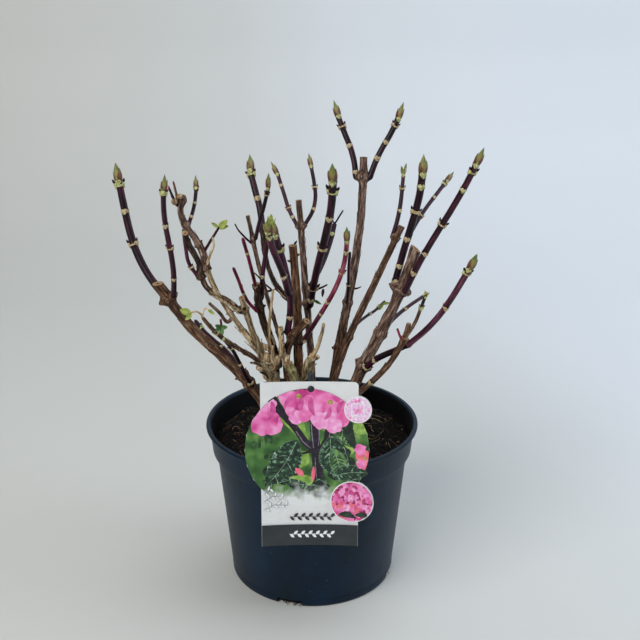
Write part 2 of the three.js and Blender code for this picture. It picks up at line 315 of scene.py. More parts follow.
# ---- Meshes ----
class Mesh:
    """Gathers vertices, quads or triangles, each face's material and each vertex's grain place."""

    def __init__(self):
        self.points, self.grains, self.faces, self.kinds = [], [], [], []
        self.materials = []
        self.count = 0

    def kind(self, material):
        if material not in self.materials:
            self.materials.append(material)
        return self.materials.index(material)

    def add(self, points, faces, material, grain=None):
        """material is one material, or a list with one for each face."""
        points = np.asarray(points, float).reshape(-1, 3)
        grain = points if grain is None else np.asarray(grain, float).reshape(-1, 3)
        many = isinstance(material, (list, tuple))
        self.points.append(points)
        self.grains.append(grain)
        self.faces.extend([tuple(int(i) + self.count for i in face) for face in faces])
        self.kinds.extend([self.kind(m) for m in (material if many else [material] * len(faces))])
        self.count += len(points)

    def build(self, name, slot, nodes=(), smooth_angle=50):
        data = bpy.data.meshes.new(name)
        points = np.concatenate(self.points) * MM
        data.from_pydata(points.tolist(), [], self.faces)
        attribute = data.attributes.new("grain", "FLOAT_VECTOR", "POINT")
        attribute.data.foreach_set("vector", np.concatenate(self.grains).astype(np.float32).ravel())
        for material in self.materials:
            data.materials.append(material)
        data.polygons.foreach_set("material_index", self.kinds)
        data.validate()
        piece = new_object(name, data)
        data.shade_smooth()
        data.set_sharp_from_angle(angle=math.radians(smooth_angle))
        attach(piece, "root")
        if nodes:
            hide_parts(*nodes)
        return piece


def ring_faces(rows, sides):
    """Quads between rings of points, wound so that they face away from the middle."""
    faces = []
    for i in range(rows - 1):
        for j in range(sides):
            k = (j + 1) % sides
            faces.append((i * sides + j, i * sides + k, (i + 1) * sides + k, (i + 1) * sides + j))
    return faces


def fan(centre, ring, outward=True):
    """Triangles from a centre to a ring of vertex numbers."""
    pairs = zip(ring, ring[1:] + ring[:1])
    return [(centre, a, b) if outward else (centre, b, a) for a, b in pairs]


def add_cap(mesh, ring, middle, material, outward=True):
    """A fan that closes one end of a tube with an edge of its own."""
    mesh.add(np.vstack([ring, [middle]]), fan(len(ring), list(range(len(ring))), outward), material)


def add_closed(mesh, grid, foot, tip, material, origin=0.0):
    """A tube through rings of points, closed by a fan to one point at each end."""
    rows, sides = len(grid), len(grid[0])
    points = np.concatenate([*grid, [foot], [tip]])
    last = (rows - 1) * sides
    faces = ring_faces(rows, sides)
    faces += fan(len(points) - 2, list(range(sides)), outward=False)
    faces += fan(len(points) - 1, list(range(last, last + sides)))
    mesh.add(points, faces, material, points - origin)


def add_sheet(mesh, grid, thickness, material, grain=None):
    """A thin closed leaf-like solid on both sides of a grid of points."""
    grid = np.asarray(grid, float)
    rows, columns = grid.shape[:2]
    normal = unit(np.cross(np.gradient(grid, axis=0), np.gradient(grid, axis=1)))
    number = np.arange(rows * columns).reshape(rows, columns)
    under = rows * columns
    faces = []
    for i in range(rows - 1):
        for j in range(columns - 1):
            a, b, c, d = number[i, j], number[i + 1, j], number[i + 1, j + 1], number[i, j + 1]
            faces.append((a, b, c, d))
            faces.append((d + under, c + under, b + under, a + under))
    border = [*number[:, 0], *number[-1, 1:], *number[-2::-1, -1], *number[0, -2:0:-1]]
    for a, b in zip(border, border[1:] + border[:1]):
        faces.append((b, a, a + under, b + under))
    both = np.concatenate([grid + normal * thickness / 2, grid - normal * thickness / 2])
    if grain is not None:
        grain = np.concatenate([np.asarray(grain, float).reshape(-1, 3)] * 2)
    mesh.add(both, faces, material, grain)


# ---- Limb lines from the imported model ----
def rings_of(node):
    """The rings of a CAD limb from its foot to its tip, as (centre, radius, points) in mm."""
    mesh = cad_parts[node].data
    corners = np.array([v.co for v in mesh.vertices]) / MM
    places, number = np.unique(np.round(corners, 3), axis=0, return_inverse=True)
    number = number.ravel()
    near = [set() for _ in places]
    for polygon in mesh.polygons:
        ids = [number[v] for v in polygon.vertices]
        for a in ids:
            near[a].update(b for b in ids if b != a)
    poles = [
        i for i, ids in enumerate(near) if len(ids) >= 6 and all(len(near[k]) == 5 for k in ids)
    ]
    level = [min(poles, key=lambda i: places[i][2])]
    seen, rings = set(level), []
    while True:
        level = sorted(set().union(*(near[i] for i in level)) - seen)
        if not level:
            return rings
        seen.update(level)
        points = places[level]
        centre = points.mean(0)
        rings.append((centre, float(np.linalg.norm(points - centre, axis=1).mean()), points))


class Path:
    """A smooth line with a radius along it, and a frame whose first side looks to the front."""

    def __init__(self, points, radii, step=1.5):
        knots = np.column_stack([points, radii])
        before, after = 2 * knots[0] - knots[1], 2 * knots[-1] - knots[-2]
        before[3], after[3] = knots[0][3], knots[-1][3]
        knots = np.vstack([before, knots, after])
        samples = []
        for a, b, c, d in zip(knots, knots[1:], knots[2:], knots[3:]):
            count = max(1, round(np.linalg.norm((c - b)[:3]) / step))
            for t in np.arange(count) / count:
                samples.append(
                    b + 0.5 * t * (c - a + t * (2 * a - 5 * b + 4 * c - d + t * (3 * (b - c) + d - a)))
                )
        samples.append(knots[-2])
        samples = np.array(samples)
        self.points, self.radii = samples[:, :3], samples[:, 3]
        self.update()

    def update(self):
        steps = np.linalg.norm(np.diff(self.points, axis=0), axis=1)
        self.length_at = np.concatenate([[0], np.cumsum(steps)])
        self.length = self.length_at[-1]
        self.along = unit(np.gradient(self.points, axis=0))
        self.front = unit(FRONT - self.along * (self.along @ FRONT)[:, None])
        self.side = np.cross(self.along, self.front)

    def at(self, length):
        """(point, radius, along, front, side) at a length from the foot."""
        rows = [np.interp(length, self.length_at, self.points[:, k]) for k in range(3)]
        i = int(np.searchsorted(self.length_at, length).clip(0, len(self.points) - 1))
        radius = float(np.interp(length, self.length_at, self.radii))
        return np.array(rows), radius, self.along[i], self.front[i], self.side[i]

    def nearest(self, point):
        i = int(np.argmin(np.linalg.norm(self.points - point, axis=1)))
        return i, float(np.linalg.norm(self.points[i] - point))


# A tip that stands this far off its limb's last ring is the point of a bud.
BUD_GAP = 2


class Limb:
    """A CAD limb: its path, where its own shaft ends, and the kind of its end."""

    def __init__(self, name):
        self.name = name
        rings = rings_of(name)
        last, tip = rings[-2], rings[-1]
        self.has_bud = np.linalg.norm(tip[0] - last[0]) > BUD_GAP
        self.tip = tip[0]
        shaft = rings[:-3] if self.has_bud else rings[:-1]
        self.width = rings[-5][1] * 2 if self.has_bud else last[1] * 2
        self.end_points = last[2]
        centres = np.array([r[0] for r in shaft])
        radii = np.array([r[1] for r in shaft])
        if self.has_bud:
            radii[-1] = radii[-2]
        self.path = Path(centres, radii)
        self.grounded = centres[0][2] < GROUND + 2
        self.swells = []
        self.seed = sum(map(ord, name)) % 97


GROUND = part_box("compost")[1].z / MM
LIMB_NAMES = [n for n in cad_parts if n.split("_")[0] in ("cane", "shoot", "twig", "stub")]
LIMBS = {name: Limb(name) for name in sorted(LIMB_NAMES)}


def nearest_limb(point, limbs):
    """The limb whose bark lies nearest to a point, and the place on its path."""
    found = [(limb, *limb.path.nearest(point)) for limb in limbs]
    limb, i, _ = min(found, key=lambda item: item[2] - item[0].path.radii[item[1]])
    return limb, i


def find_parent(limb):
    foot = limb.path.points[0]
    lower = [other for other in LIMBS.values() if other is not limb and other.path.points[0][2] <= foot[2]]
    return nearest_limb(foot, lower)


def root_in(limb):
    """Carries the limb's foot back into its parent or the compost, and swells the parent there."""
    path = limb.path
    radius = path.radii[0]
    if limb.grounded:
        inner = path.points[0] - UP * 5 - unit(path.along[0] * (1, 1, 0)) * 1.5
        path.points = np.vstack([inner, path.points])
        path.radii = np.concatenate([[radius * 1.3], path.radii])
        path.update()
        limb.root = 5.0
        return
    parent, i = find_parent(limb)
    middle = parent.path.points[i]
    steps = np.linspace(0, 1, 4)[:-1, None]
    middle = middle + unit(path.points[0] - middle) * 0.15 * radius
    if path.along[0] @ parent.path.along[i] > 0 and i > 4:
        middle = middle - parent.path.along[i] * min(1.3 * radius, 4.0)
    path.points = np.vstack([middle + (path.points[0] - middle) * steps, path.points])
    path.radii = np.concatenate([[radius] * 3, path.radii])
    path.update()
    limb.root = float(np.linalg.norm(path.points[0] - path.points[3]))
    direction = unit(path.points[3] - parent.path.points[i])
    parent.swells.append((parent.path.points[i], direction, radius))


for each_limb in LIMBS.values():
    root_in(each_limb)

# ---- Limb skins ----
# Each limb's look, then its joints: how far along in percent, and which way the first of the two
# leaf scars looks: f front, s side. A k is an old knot in the bark, and a b is a broad one.
LIMB_ROWS = """
cane_left_foot straw 70k
cane_far_left brown 91k
cane_left_low brown 50k 75f 82s
cane_left_middle tan 53k
cane_left_upper grey 6k 30k 93b
cane_left_olive tan 85k
cane_left_inner brown 9k 61k
cane_left_dark dark 6k
cane_left_stub dark 73k
cane_slim grey 89k
cane_centre_stub rust 30k 52k
cane_back_left dark 24k 96k
cane_crossing brown 80k
cane_centre grey 56k 89k
cane_tall grey 30k 92k
cane_right_slim brown 94k
cane_right_thick grey 40k 80k
cane_right_low black 4s 30f 97k
cane_right_front brown 61f 97k
stub_olive olive 90k
stub_tan straw 92k
twig_left_black black 4s 45f 78s
twig_tall_cane black 35s
twig_right_curled black 59f 81s
twig_right_dark black 6s 50f
shoot_far_left black 43s 66f 84s
shoot_left_front purple 19f 45s 63f 86s
shoot_left_behind purple 46f 87s
shoot_left_upper black 12f 40f 70s
shoot_left_slim purple 21s 94f
shoot_left_inner purple 25f
shoot_crimson crimson 4f 73f
shoot_black_tip crimson 45f
shoot_slim black 68s
shoot_back_left black 37f 71s
shoot_centre_left purple 14f 37f 73s
shoot_centre_front purple 23f 76f
shoot_centre_tall black 4f 12s 42s 64f 81s
shoot_centre_back black 84f
shoot_fork_left purple 13f 27s 61f
shoot_fork_right purple 23f 52s
shoot_red pink 34f 45f 69s 84f
shoot_top_left black 5f 39f 64s
shoot_top_right black 24f 46f 69s
shoot_right_slim black 34f 63s
shoot_right_upright black 3f 15f 36f 57s 76f
shoot_right_side purple 25s 54f 77s
shoot_right_front brown 79s
shoot_far_right_tall purple 15f 29f 49s 73f 84s
shoot_far_right_low plum 46f 81s
"""
LIMB_LOOKS = {name: (look, joints) for name, look, *joints in map(str.split, LIMB_ROWS.split("\n")[1:-1])}
RING_HALF = 0.6
GREEN_ABOVE = 0.7
# How long each kind of bulge is, and how high as a share of the limb's radius.
BULGES = {"k": (2.8, 0.24), "b": (5.0, 0.62)}
RING_BULGE = (1.3, 0.15)
SLIM_RADIUS = 3.6


def joints_of(limb, words):
    """(length along the path, how far up the limb from 0 to 1, kind letter) for each joint."""
    whole = limb.path.length - limb.root + np.linalg.norm(limb.tip - limb.path.points[-1])
    found = []
    for word in words:
        share = int(word[:-1]) / 100
        found.append((limb.root + share * whole, share, word[-1]))
    return found


def surface(limb, joints, turn, young):
    """Radii for a grid of (rings, sides) with ridges, knots, joint rings and fork swellings."""
    path = limb.path
    scale = np.ones((len(path.points), len(turn)))
    for i, length in enumerate(path.length_at):
        for j, angle in enumerate(turn):
            if young:
                scale[i, j] += 0.05 * wander_round(angle, 1.4, length / 16, limb.seed)
            else:
                broad = wander_round(angle, 1.1, length / 17, limb.seed)
                ridge = wander(math.cos(angle) * 2.8, math.sin(angle) * 2.8 + limb.seed, length / 30)
                crack = abs(wander_round(angle, 5.5, length / 22 + limb.seed))
                scale[i, j] += 0.14 * broad + 0.16 * ridge - 0.2 * crack + 0.04
    for at, _, kind in joints:
        width, height = BULGES.get(kind, RING_BULGE)
        bulge = np.exp(-(((path.length_at - at) / width) ** 2))
        lumps = [1 + 0.9 * wander_round(a, 1.9, at) for a in turn]
        scale += height * bulge[:, None] * (np.array(lumps) if kind in "kb" else 1)
    radii = path.radii[:, None] * scale
    for point, direction, radius in limb.swells:
        near = np.exp(-((np.linalg.norm(path.points - point, axis=1) / (0.9 * radius + 1.5)) ** 2))
        side = path.front @ direction
        other = path.side @ direction
        facing = side[:, None] * np.cos(turn) + other[:, None] * np.sin(turn)
        reach = (0.34 if young else 0.55) * radius
        radii *= 1 + (0 if young else 0.22) * near[:, None]
        radii += reach * near[:, None] * np.clip(facing + 0.35, 0, 1)
    if limb.grounded:
        radii *= (1 + 0.3 * np.exp(-np.clip(path.length_at - limb.root, 0, None) / 7))[:, None]
    else:
        flare = np.exp(-np.clip(path.length_at - limb.root, 0, None) / (0.5 * path.radii[0]))
        radii *= (1 + (0.12 if young else 0.22) * flare)[:, None]
    return radii


def add_cut_face(mesh, limb, rim, along):
    """The pale sawn end of a cane, with its pith, from the last ring of the bark inwards."""
    middle, sides = rim.mean(0), len(rim)
    shares = ((0.9, 0.15), (0.62, -0.1), (0.32, -0.15), (0.26, -0.6), (0.12, -0.7))
    rows = []
    for number, (share, lift) in enumerate(shares):
        rough = [0.18 * wander(p[0] * 0.7, p[1] * 0.7, number + limb.seed) for p in rim]
        rows.append(middle + (rim - middle) * share + along * (lift + np.array(rough)[:, None]))
    points = np.concatenate([rim, *rows, [middle - along * 0.7]])
    faces = ring_faces(len(rows) + 1, sides)
    kinds = [CUT_WOOD] * (3 * sides) + [PITH] * (2 * sides)
    last = len(rows) * sides
    faces += fan(len(points) - 1, list(range(last, last + sides)))
    mesh.add(points, faces, kinds + [PITH] * sides)


# Canes whose lowest part is paler: the look there, and how far up it reaches.
FOOT_LOOKS = {
    "cane_left_low": ("straw", 0.34), "cane_left_olive": ("straw", 0.3), "cane_left_middle": ("straw", 0.25),
    "cane_left_inner": ("tan", 0.2), "cane_centre_stub": ("straw", 0.22), "cane_crossing": ("straw", 0.2),
    "cane_left_stub": ("tan", 0.25), "cane_far_left": ("dark", 0.12), "cane_tall": ("brown", 0.4),
    "cane_right_thick": ("brown", 0.35), "cane_centre": ("tan", 0.3), "cane_right_front": ("tan", 0.15),
    "shoot_far_left": ("dark", 0.22), "shoot_right_front": ("grey", 0.55), "shoot_red": ("plum", 0.42),
}


def add_skin(mesh, limb, look, joints, young):
    path = limb.path
    sides = 18 if path.radii.max() < SLIM_RADIUS else 26
    turn = turns(sides)
    radii = surface(limb, joints, turn, young)
    ring = around(path.front[:, None], path.side[:, None], turn)
    grid = path.points[:, None] + ring * radii[:, :, None]
    _, _, axes = np.linalg.svd(limb.end_points - limb.end_points.mean(0))
    normal = axes[2] * np.sign(axes[2] @ path.along[-1])
    if not limb.has_bud:
        reach = 3.0 * path.radii[-1]
        ease = np.clip(1 - (path.length - path.length_at) / reach, 0, 1)
        slip = -(ring @ normal) * radii / (path.along[-1] @ normal)
        grid += path.along[:, None] * (slip * ease[:, None])[:, :, None]
    lengths = np.repeat(path.length_at[:, None], sides, 1)
    grain = np.stack([radii * np.cos(turn) + limb.seed * 20, radii * np.sin(turn), lengths], 2)
    material = LOOKS[look]
    kinds = []
    foot_look, foot_reach = FOOT_LOOKS.get(limb.name, (look, 0))
    for middle in (path.length_at[1:] + path.length_at[:-1]) / 2:
        kind = material
        for at, share, letter in joints:
            if letter not in "kb" and abs(middle - at) < RING_HALF + 0.1 * path.radii[0]:
                kind = JOINT_GREEN if share > GREEN_ABOVE else JOINT_CREAM
        for angle in turn:
            edge = foot_reach + 0.1 * wander_round(angle, 2, middle / 6)
            in_foot = foot_reach and kind is material and middle < edge * path.length
            kinds.append(LOOKS[foot_look] if in_foot else kind)
    mesh.add(grid, ring_faces(len(grid), sides), kinds, grain)
    add_cap(mesh, grid[0], path.points[0], material, outward=False)
    if limb.has_bud or limb.name.split("_")[0] in ("twig", "shoot"):
        add_cap(mesh, grid[-1], path.points[-1] + path.along[-1] * 0.6, material)
    else:
        add_cut_face(mesh, limb, grid[-1], normal)


def add_blob(mesh, middle, along, front, length, width, material, seed=0):
    """A small ovoid, pointed towards `along`, such as a side bud or a knob."""
    side = np.cross(along, front)
    rows, turn = 6, turns(8)
    ring = around(front, side, turn)
    grid = []
    for i in range(rows):
        t = (i + 0.5) / rows
        radius = width / 2 * math.sin(math.pi * t) ** 0.8 * (1 - 0.35 * t)
        lump = np.array([1 + 0.25 * wander_round(a, 1, t * 2, seed) for a in turn])
        grid.append(middle + along * (t - 0.3) * length + ring * lump[:, None] * radius)
    add_closed(mesh, grid, middle - along * 0.3 * length, middle + along * 0.72 * length, material)


def add_scar(mesh, limb, at, turn, material, size, bud_material):
    """A shield-shaped leaf scar standing out from the stem, with a small side bud over it."""
    point, radius, along, front, side = limb.path.at(at)
    radius *= 1.1
    tall, deep, wide = 0.29 * size * 2 * radius + 0.5, 0.36 * size * radius, 1.15
    grid = []
    for v in np.linspace(-1, 1, 8):
        row = []
        width = wide * max(0.08, (1 - v * v)) ** 0.5 * (0.6 + 0.4 * v) ** 0.8
        for u in np.linspace(-1, 1, 9):
            angle = turn + u * width
            out = deep * (1 - u * u) ** 0.7 * (0.35 + 0.65 * (v + 1) / 2) * (1 - max(0, v) ** 6)
            row.append(point + around(front, side, angle) * (radius + out) + along * v * tall)
        grid.append(row)
    add_sheet(mesh, grid, 0.7, material)
    away = around(front, side, turn)
    bud = point + away * (radius + 0.35 * deep) + along * (tall + 0.3)
    rise = unit(along + away * 0.45)
    add_blob(mesh, bud, rise, square_to(away, rise), 1.3 * size * radius, 0.75 * size * radius,
             bud_material, seed=at)


BUD_BODY = (
    (0.0, 0.36), (0.07, 0.44), (0.18, 0.52), (0.32, 0.545), (0.46, 0.5), (0.6, 0.41), (0.73, 0.3),
    (0.85, 0.18), (0.94, 0.08), (0.985, 0.025),
)


def bud_radius(t):
    shares, radii = zip(*BUD_BODY)
    return float(np.interp(t, shares, radii))


def add_bud(mesh, base, tip, front, width, seed):
    """A pointed end bud: a green body inside two long scales and two shorter, redder ones."""
    chance = random.Random(seed)
    axis = unit(tip - base)
    length = float(np.linalg.norm(tip - base))
    front = square_to(front, axis)
    side = np.cross(axis, front)
    twist = chance.uniform(-0.35, 0.35)
    lean = (front * chance.uniform(-1, 1) + side * chance.uniform(-1, 1)) * 0.05 * length

    def place(t, angle, lift):
        away = around(front, side, angle + twist)
        return base + axis * length * t + lean * t * (1 - t) + away * (bud_radius(t) * width + lift)

    grid = [[place(t, turn, -0.25) for turn in turns(16)] for t, _ in BUD_BODY[:-1]]
    add_closed(mesh, grid, base, tip, BUD_GREEN, base)
    scales = (
        (0.0, 0.96, 1.25, 0.1, BUD_FRONT), (math.pi, 0.9, 1.25, 0.1, BUD_FRONT),
        (math.pi / 2, 0.7, 1.35, 0.34, BUD_SIDE), (-math.pi / 2, 0.62, 1.35, 0.34, BUD_SIDE),
    )
    for middle, reach, spread, lift, material in scales:
        reach *= chance.uniform(0.9, 1.0)
        sheet = []
        for t in np.linspace(0.0, 1, 11):
            half = spread * max(0.03, 1 - t ** 2.2) ** 0.75
            flare = lift + 0.25 * t ** 4
            sheet.append([place(t * reach, middle + u * half, flare + 0.12 * (1 - u * u))
                          for u in np.linspace(-1, 1, 9)])
        grain = np.array(sheet) - base
        grain[:, :, 2] = np.linspace(0, BUD_RISE * reach, 11)[:, None]
        add_sheet(mesh, sheet, 0.34, material, grain)


FACING = {"f": 0.0, "s": math.pi / 2}


def add_collars(mesh, limb, chance):
    """Dark crumbly lumps of bark about the foot of each shoot that grows from an old cane."""
    for point, direction, radius in limb.swells:
        i, _ = limb.path.nearest(point)
        along = limb.path.along[i]
        across = unit(np.cross(direction, along))
        radius = min(radius, 2.8)
        for turn in (-1.2, -0.3, 0.9):
            away = around(direction, across, turn)
            middle = point + away * limb.path.radii[i] * 1.05 + along * chance.uniform(-0.7, 0.9) * radius
            rise = unit(away + along * chance.uniform(0.2, 1.2))
            add_blob(mesh, middle, rise, unit(np.cross(rise, across)), radius * chance.uniform(1.7, 2.6),
                     radius * chance.uniform(1.1, 1.7), LOOKS[chance.choice(("dark", "brown", "tan"))],
                     seed=turn + limb.seed)


def dress(limb):
    """Builds one limb's piece: its skin, its joints with scars and side buds, and its end."""
    look, words = LIMB_LOOKS[limb.name]
    young = look in YOUNG
    joints = joints_of(limb, words)
    chance = random.Random(limb.seed)
    mesh = Mesh()
    if limb.has_bud:
        joints.append((limb.path.length - 0.6, 0.95, "f"))
    add_skin(mesh, limb, look, joints, young)
    for at, share, kind in joints:
        point, radius, along, front, side = limb.path.at(at)
        if kind in "kb":
            for turn in (chance.uniform(0.9, 1.9), chance.uniform(-1.9, -0.9), chance.uniform(2.6, 3.6)):
                away = around(front, side, turn)
                add_blob(mesh, point + away * radius * 1.12 + along * chance.uniform(-1.5, 1.5),
                         unit(away + along * 0.6), unit(np.cross(away, along)), radius * 0.9,
                         radius * 0.75, LOOKS["dark"], seed=limb.seed + turn)
            continue
        fresh = share > GREEN_ABOVE
        scar = JOINT_GREEN if fresh else JOINT_CREAM
        bud = BUD_GREEN if fresh and share > 0.9 else LOOKS["black"]
        size = 1.12 if fresh else 0.95
        for half in (0, math.pi):
            turn = FACING[kind] + half + chance.uniform(-0.3, 0.3)
            add_scar(mesh, limb, at, turn, scar, size * chance.uniform(0.85, 1.1), bud)
    if limb.has_bud:
        add_end(mesh, limb)
    if not young:
        add_collars(mesh, limb, chance)
    slot = "young_bark" if limb.name.startswith("shoot") else "old_bark"
    mesh.build("limb_" + limb.name, slot, [limb.name])


# ---- Small twigs, leaves and dead stalks ----
# Look, width at the foot and at the tip, whether the tip is cut, then the line it follows.
TWIGS = (
    ("purple", 3.4, 2.6, False, [(-141, 58, 396), (-144, 57, 404), (-147.5, 57, 413)]),
    ("brown", 3.6, 2.4, False, [(-139, 58, 400), (-141, 57, 410), (-142.5, 57, 418)]),
    ("purple", 3.6, 2.6, False, [(-111, 46, 333), (-113, 48, 346), (-107, 47, 358), (-102, 46, 366),
                                (-96.5, 45, 375)]),
    ("straw", 3.2, 2.4, False, [(-111, 44, 333), (-106, 40, 347), (-102, 40, 358), (-103, 41, 365)]),
    ("grey", 4.4, 3.2, True, [(-89, 21, 279), (-97, 20, 290), (-107, 19, 301)]),
    ("crimson", 3.2, 2.2, False, [(-86.5, -80, 304), (-86, -82, 312), (-86.5, -83, 321)]),
    ("straw", 2.2, 1.5, False, [(-103.5, -93, 330), (-108, -95, 333.5), (-115, -96, 332)]),
    ("straw", 2.2, 1.4, False, [(-102.5, -92, 329), (-100, -93, 336), (-95.5, -94, 335)]),
    ("purple", 2.8, 1.4, False, [(-62, 25, 364), (-70, 24, 372.5), (-75, 23, 379), (-78, 23, 385)]),
    ("dark", 2.2, 1.2, False, [(-50.5, 3, 331), (-54, 0, 336), (-58, -2, 341)]),
    ("dark", 2.4, 1.6, True, [(-42, 22, 314), (-48, 20, 321)]),
    ("straw", 4.0, 2.6, True, [(-42, -12, 254), (-43.5, -14, 285), (-41.3, -14, 306), (-38.8, -14, 327)]),
    ("straw", 6.6, 5.6, True, [(-30, -18, 256), (-31, -18, 268), (-31, -18, 278), (-31.8, -18, 288)]),
    ("straw", 4.4, 3.0, True, [(-42, -20, 250), (-40, -20, 258), (-41, -20, 268.5)]),
    ("tan", 3.4, 2.6, True, [(-27, -19, 245), (-30, -22, 262), (-29, -24, 277)]),
    ("straw", 3.0, 2.2, True, [(-38, -22, 245), (-41, -25, 256), (-39, -26, 271)]),
    ("black", 1.6, 0.9, False, [(-27, -16, 268), (-31, -20, 279), (-27, -22, 286), (-24, -21, 283)]),
    ("black", 3.0, 1.8, False, [(0, 24, 312), (5, 20, 315), (11, 19, 318), (16, 18, 321)]),
    ("black", 2.4, 1.6, False, [(22, 88, 362), (27, 87, 370), (31, 86, 377), (34, 86, 382)]),
    ("black", 1.8, 1.2, False, [(24.5, 88, 366), (22.5, 86, 372), (20.5, 86, 379)]),
    ("straw", 5.2, 3.4, True, [(-1.7, -12, 251.5), (4, -12, 259), (8.4, -12, 272), (10.9, -12, 281.3),
                               (12.1, -12, 289.4)]),
    ("dark", 5.6, 4.6, False, [(-16, -16, 271), (-10, -13, 271.5), (-4, -12, 275.5)]),
    ("brown", 5.0, 4.6, True, [(88, -88, 301), (90, -89, 310), (92, -90, 319)]),
    ("crimson", 3.0, 2.2, False, [(86, -88, 302), (83.5, -90, 307), (81, -91, 314)]),
    ("straw", 1.6, 0.9, False, [(44, -40, 220), (54, -46, 233), (66, -48, 244)]),
    ("crimson", 2.8, 1.8, False, [(-68, -26, 328), (-69.5, -28, 337)]),
    ("dark", 3.0, 1.2, False, [(48, 58, 303), (53, 55, 306)]),
)
# Knobs and side buds: look, width, length, where it sits and which way it points. A slim one that
# isn't pink is drawn in to the nearest bark.
BROAD_KNOB = 8
KNOBS = (
    ("dark", 8.0, 11.0, (-14, -15, 271), (0.7, -0.1, 0.3)),
    ("tan", 7.0, 5.0, (-8.5, -15, 271), (0.4, -0.5, 0.5)),
    ("tan", 6.5, 8.0, (6.7, -16, 253), (0.5, -0.6, 0.2)),
    ("straw", 10, 15, (-44, -20, 253), (-0.4, -0.2, 0.9)),
    ("straw", 9, 13, (-37, -21, 250), (0.2, -0.2, 1)),
    ("tan", 8.5, 15, (-32, -19, 256), (0.5, -0.2, 0.9)),
    ("straw", 8, 12, (-28, -18, 252), (0.7, -0.2, 0.7)),
    ("tan", 8, 14, (-42, -20, 262), (-0.4, -0.2, 0.9)),
    ("straw", 8, 13, (-47, -18, 265), (-0.6, -0.2, 0.8)),
    ("tan", 9, 9, (-142, 55, 399), (-0.3, -0.5, 0.8)),
    ("tan", 8, 8, (-137, 55, 405), (0.5, -0.5, 0.7)),
    ("dark", 4.2, 6.0, (-74, -44, 318), (-0.4, -0.5, 0.8)),
    ("dark", 4.0, 5.0, (-69.5, -44, 311), (0.6, -0.6, 0.5)),
    ("black", 4.0, 6.0, (-47, -6, 306), (0.8, -0.2, 0.6)),
    ("black", 3.6, 5.5, (-23.5, -40, 292), (-0.5, -0.5, 0.7)),
    ("brown", 4.4, 5.0, (-69, -73, 279), (0.2, -0.6, 0.8)),
    ("black", 3.0, 6.0, (-16.5, -7, 373), (0.5, 0, 0.85)),
    ("brown", 3.8, 4.5, (-13.5, -7, 361), (0.9, 0, 0.4)),
    ("brown", 3.6, 4.5, (-23.5, -7, 354), (-0.9, 0, 0.4)),
    ("pink", 3.0, 6.0, (-147.5, 57, 413), (-0.25, 0, 1)),
    ("pink", 2.8, 6.0, (-142.5, 57, 418), (-0.2, 0, 1)),
    ("dark", 5.0, 6.0, (-112, 44, 336), (-0.7, -0.6, 0.3)),
    ("dark", 4.6, 6.0, (-108, 42, 332), (0.7, -0.6, 0.2)),
    ("dark", 4.0, 5.0, (-113, 44, 328), (-0.6, -0.6, -0.2)),
)
LEAF_FRESH = patterned(
    "leaf_fresh", tones("748a38 98a64c bcc074"), size=3.0, fine=0.6, roughness=(0.45, 0.65), relief=0.15,
)
LEAF_DARK = patterned(
    "leaf_dark", tones("22401a 386026 557c34"), size=3.0, fine=0.6, roughness=(0.4, 0.6), relief=0.2,
)
LEAF_DRY = patterned(
    "leaf_dry", tones("20150f 3a281a 5c452e", 0.3, 0.6, 0.8), size=2.0, fine=0.5, roughness=(0.7, 0.9),
    relief=0.3,
)
# Leaves: material, foot, tip, the way its face looks, width, cupping.
LEAVES = (
    (LEAF_FRESH, (-96.5, 45, 374), (-87, 42, 384), (0, -1, 0.5), 6.5, 0.3),
    (LEAF_FRESH, (-97, 45, 375), (-104, 43, 381), (0.1, -1, 0.7), 3.6, 0.5),
    (LEAF_FRESH, (-96, 45, 374), (-86, 44, 377), (0, -1, 0.8), 4.4, 0.5),
    (LEAF_FRESH, (-113, -96, 332), (-123, -98, 337), (0.1, -1, 0.4), 6.0, 0.35),
    (LEAF_FRESH, (-112, -96, 332), (-118, -100, 327), (0.2, -1, 0.2), 4.0, 0.5),
    (LEAF_FRESH, (-97, -94, 335.5), (-91, -96, 331), (0, -1, 0.6), 3.0, 0.6),
    (LEAF_DARK, (-86.5, -84, 313), (-91.5, -87, 317), (0, -1, 0.3), 4.2, 0.35),
    (LEAF_DARK, (-86.5, -84, 313), (-80, -87, 315), (0, -1, 0.3), 4.2, 0.35),
    (LEAF_DARK, (-86.5, -84, 313), (-84.5, -88, 307), (0, -1, 0.1), 3.8, 0.35),
    (LEAF_DARK, (-86.5, -84, 313), (-93, -86, 310), (0, -1, 0.2), 3.4, 0.4),
    (LEAF_DRY, (12, 18, 317), (11, 16, 308), (0.3, -1, 0), 3.0, 0.7),
    (LEAF_DARK, (2, 16, 305), (10, 11, 302), (0, -1, 0.4), 2.8, 0.5),
    (LEAF_FRESH, (73.5, 70, 274), (79, 68, 283), (-0.6, -1, 0.2), 3.4, 0.6),
    (LEAF_FRESH, (77, 69, 281), (86, 68, 283), (-0.2, -1, 0.6), 3.0, 0.6),
)


def add_tube(mesh, points, widths, look, seed, cut=False):
    """A slim twig along a line, with a wandering skin and closed ends."""
    points = np.array(points, float)
    path = Path(points, np.linspace(widths[0], widths[1], len(points)) / 2, step=1.2)
    turn = turns(10)
    ring = around(path.front[:, None], path.side[:, None], turn)
    lumps = [[1 + 0.18 * wander_round(a, 1.5, s / 5, seed) for a in turn] for s in path.length_at]
    radii = path.radii[:, None] * np.array(lumps)
    grid = path.points[:, None] + ring * radii[:, :, None]
    place = [(r * math.cos(a) + seed * 9, r * math.sin(a), s)
             for r, s in zip(path.radii, path.length_at) for a in turn]
    mesh.add(grid, ring_faces(len(grid), len(turn)), LOOKS[look], place)
    add_cap(mesh, grid[0], path.points[0], LOOKS[look], outward=False)
    top = path.points[-1] + path.along[-1] * (0.1 if cut else 0.8 * path.radii[-1])
    add_cap(mesh, grid[-1], top, CUT_WOOD if cut else LOOKS[look])


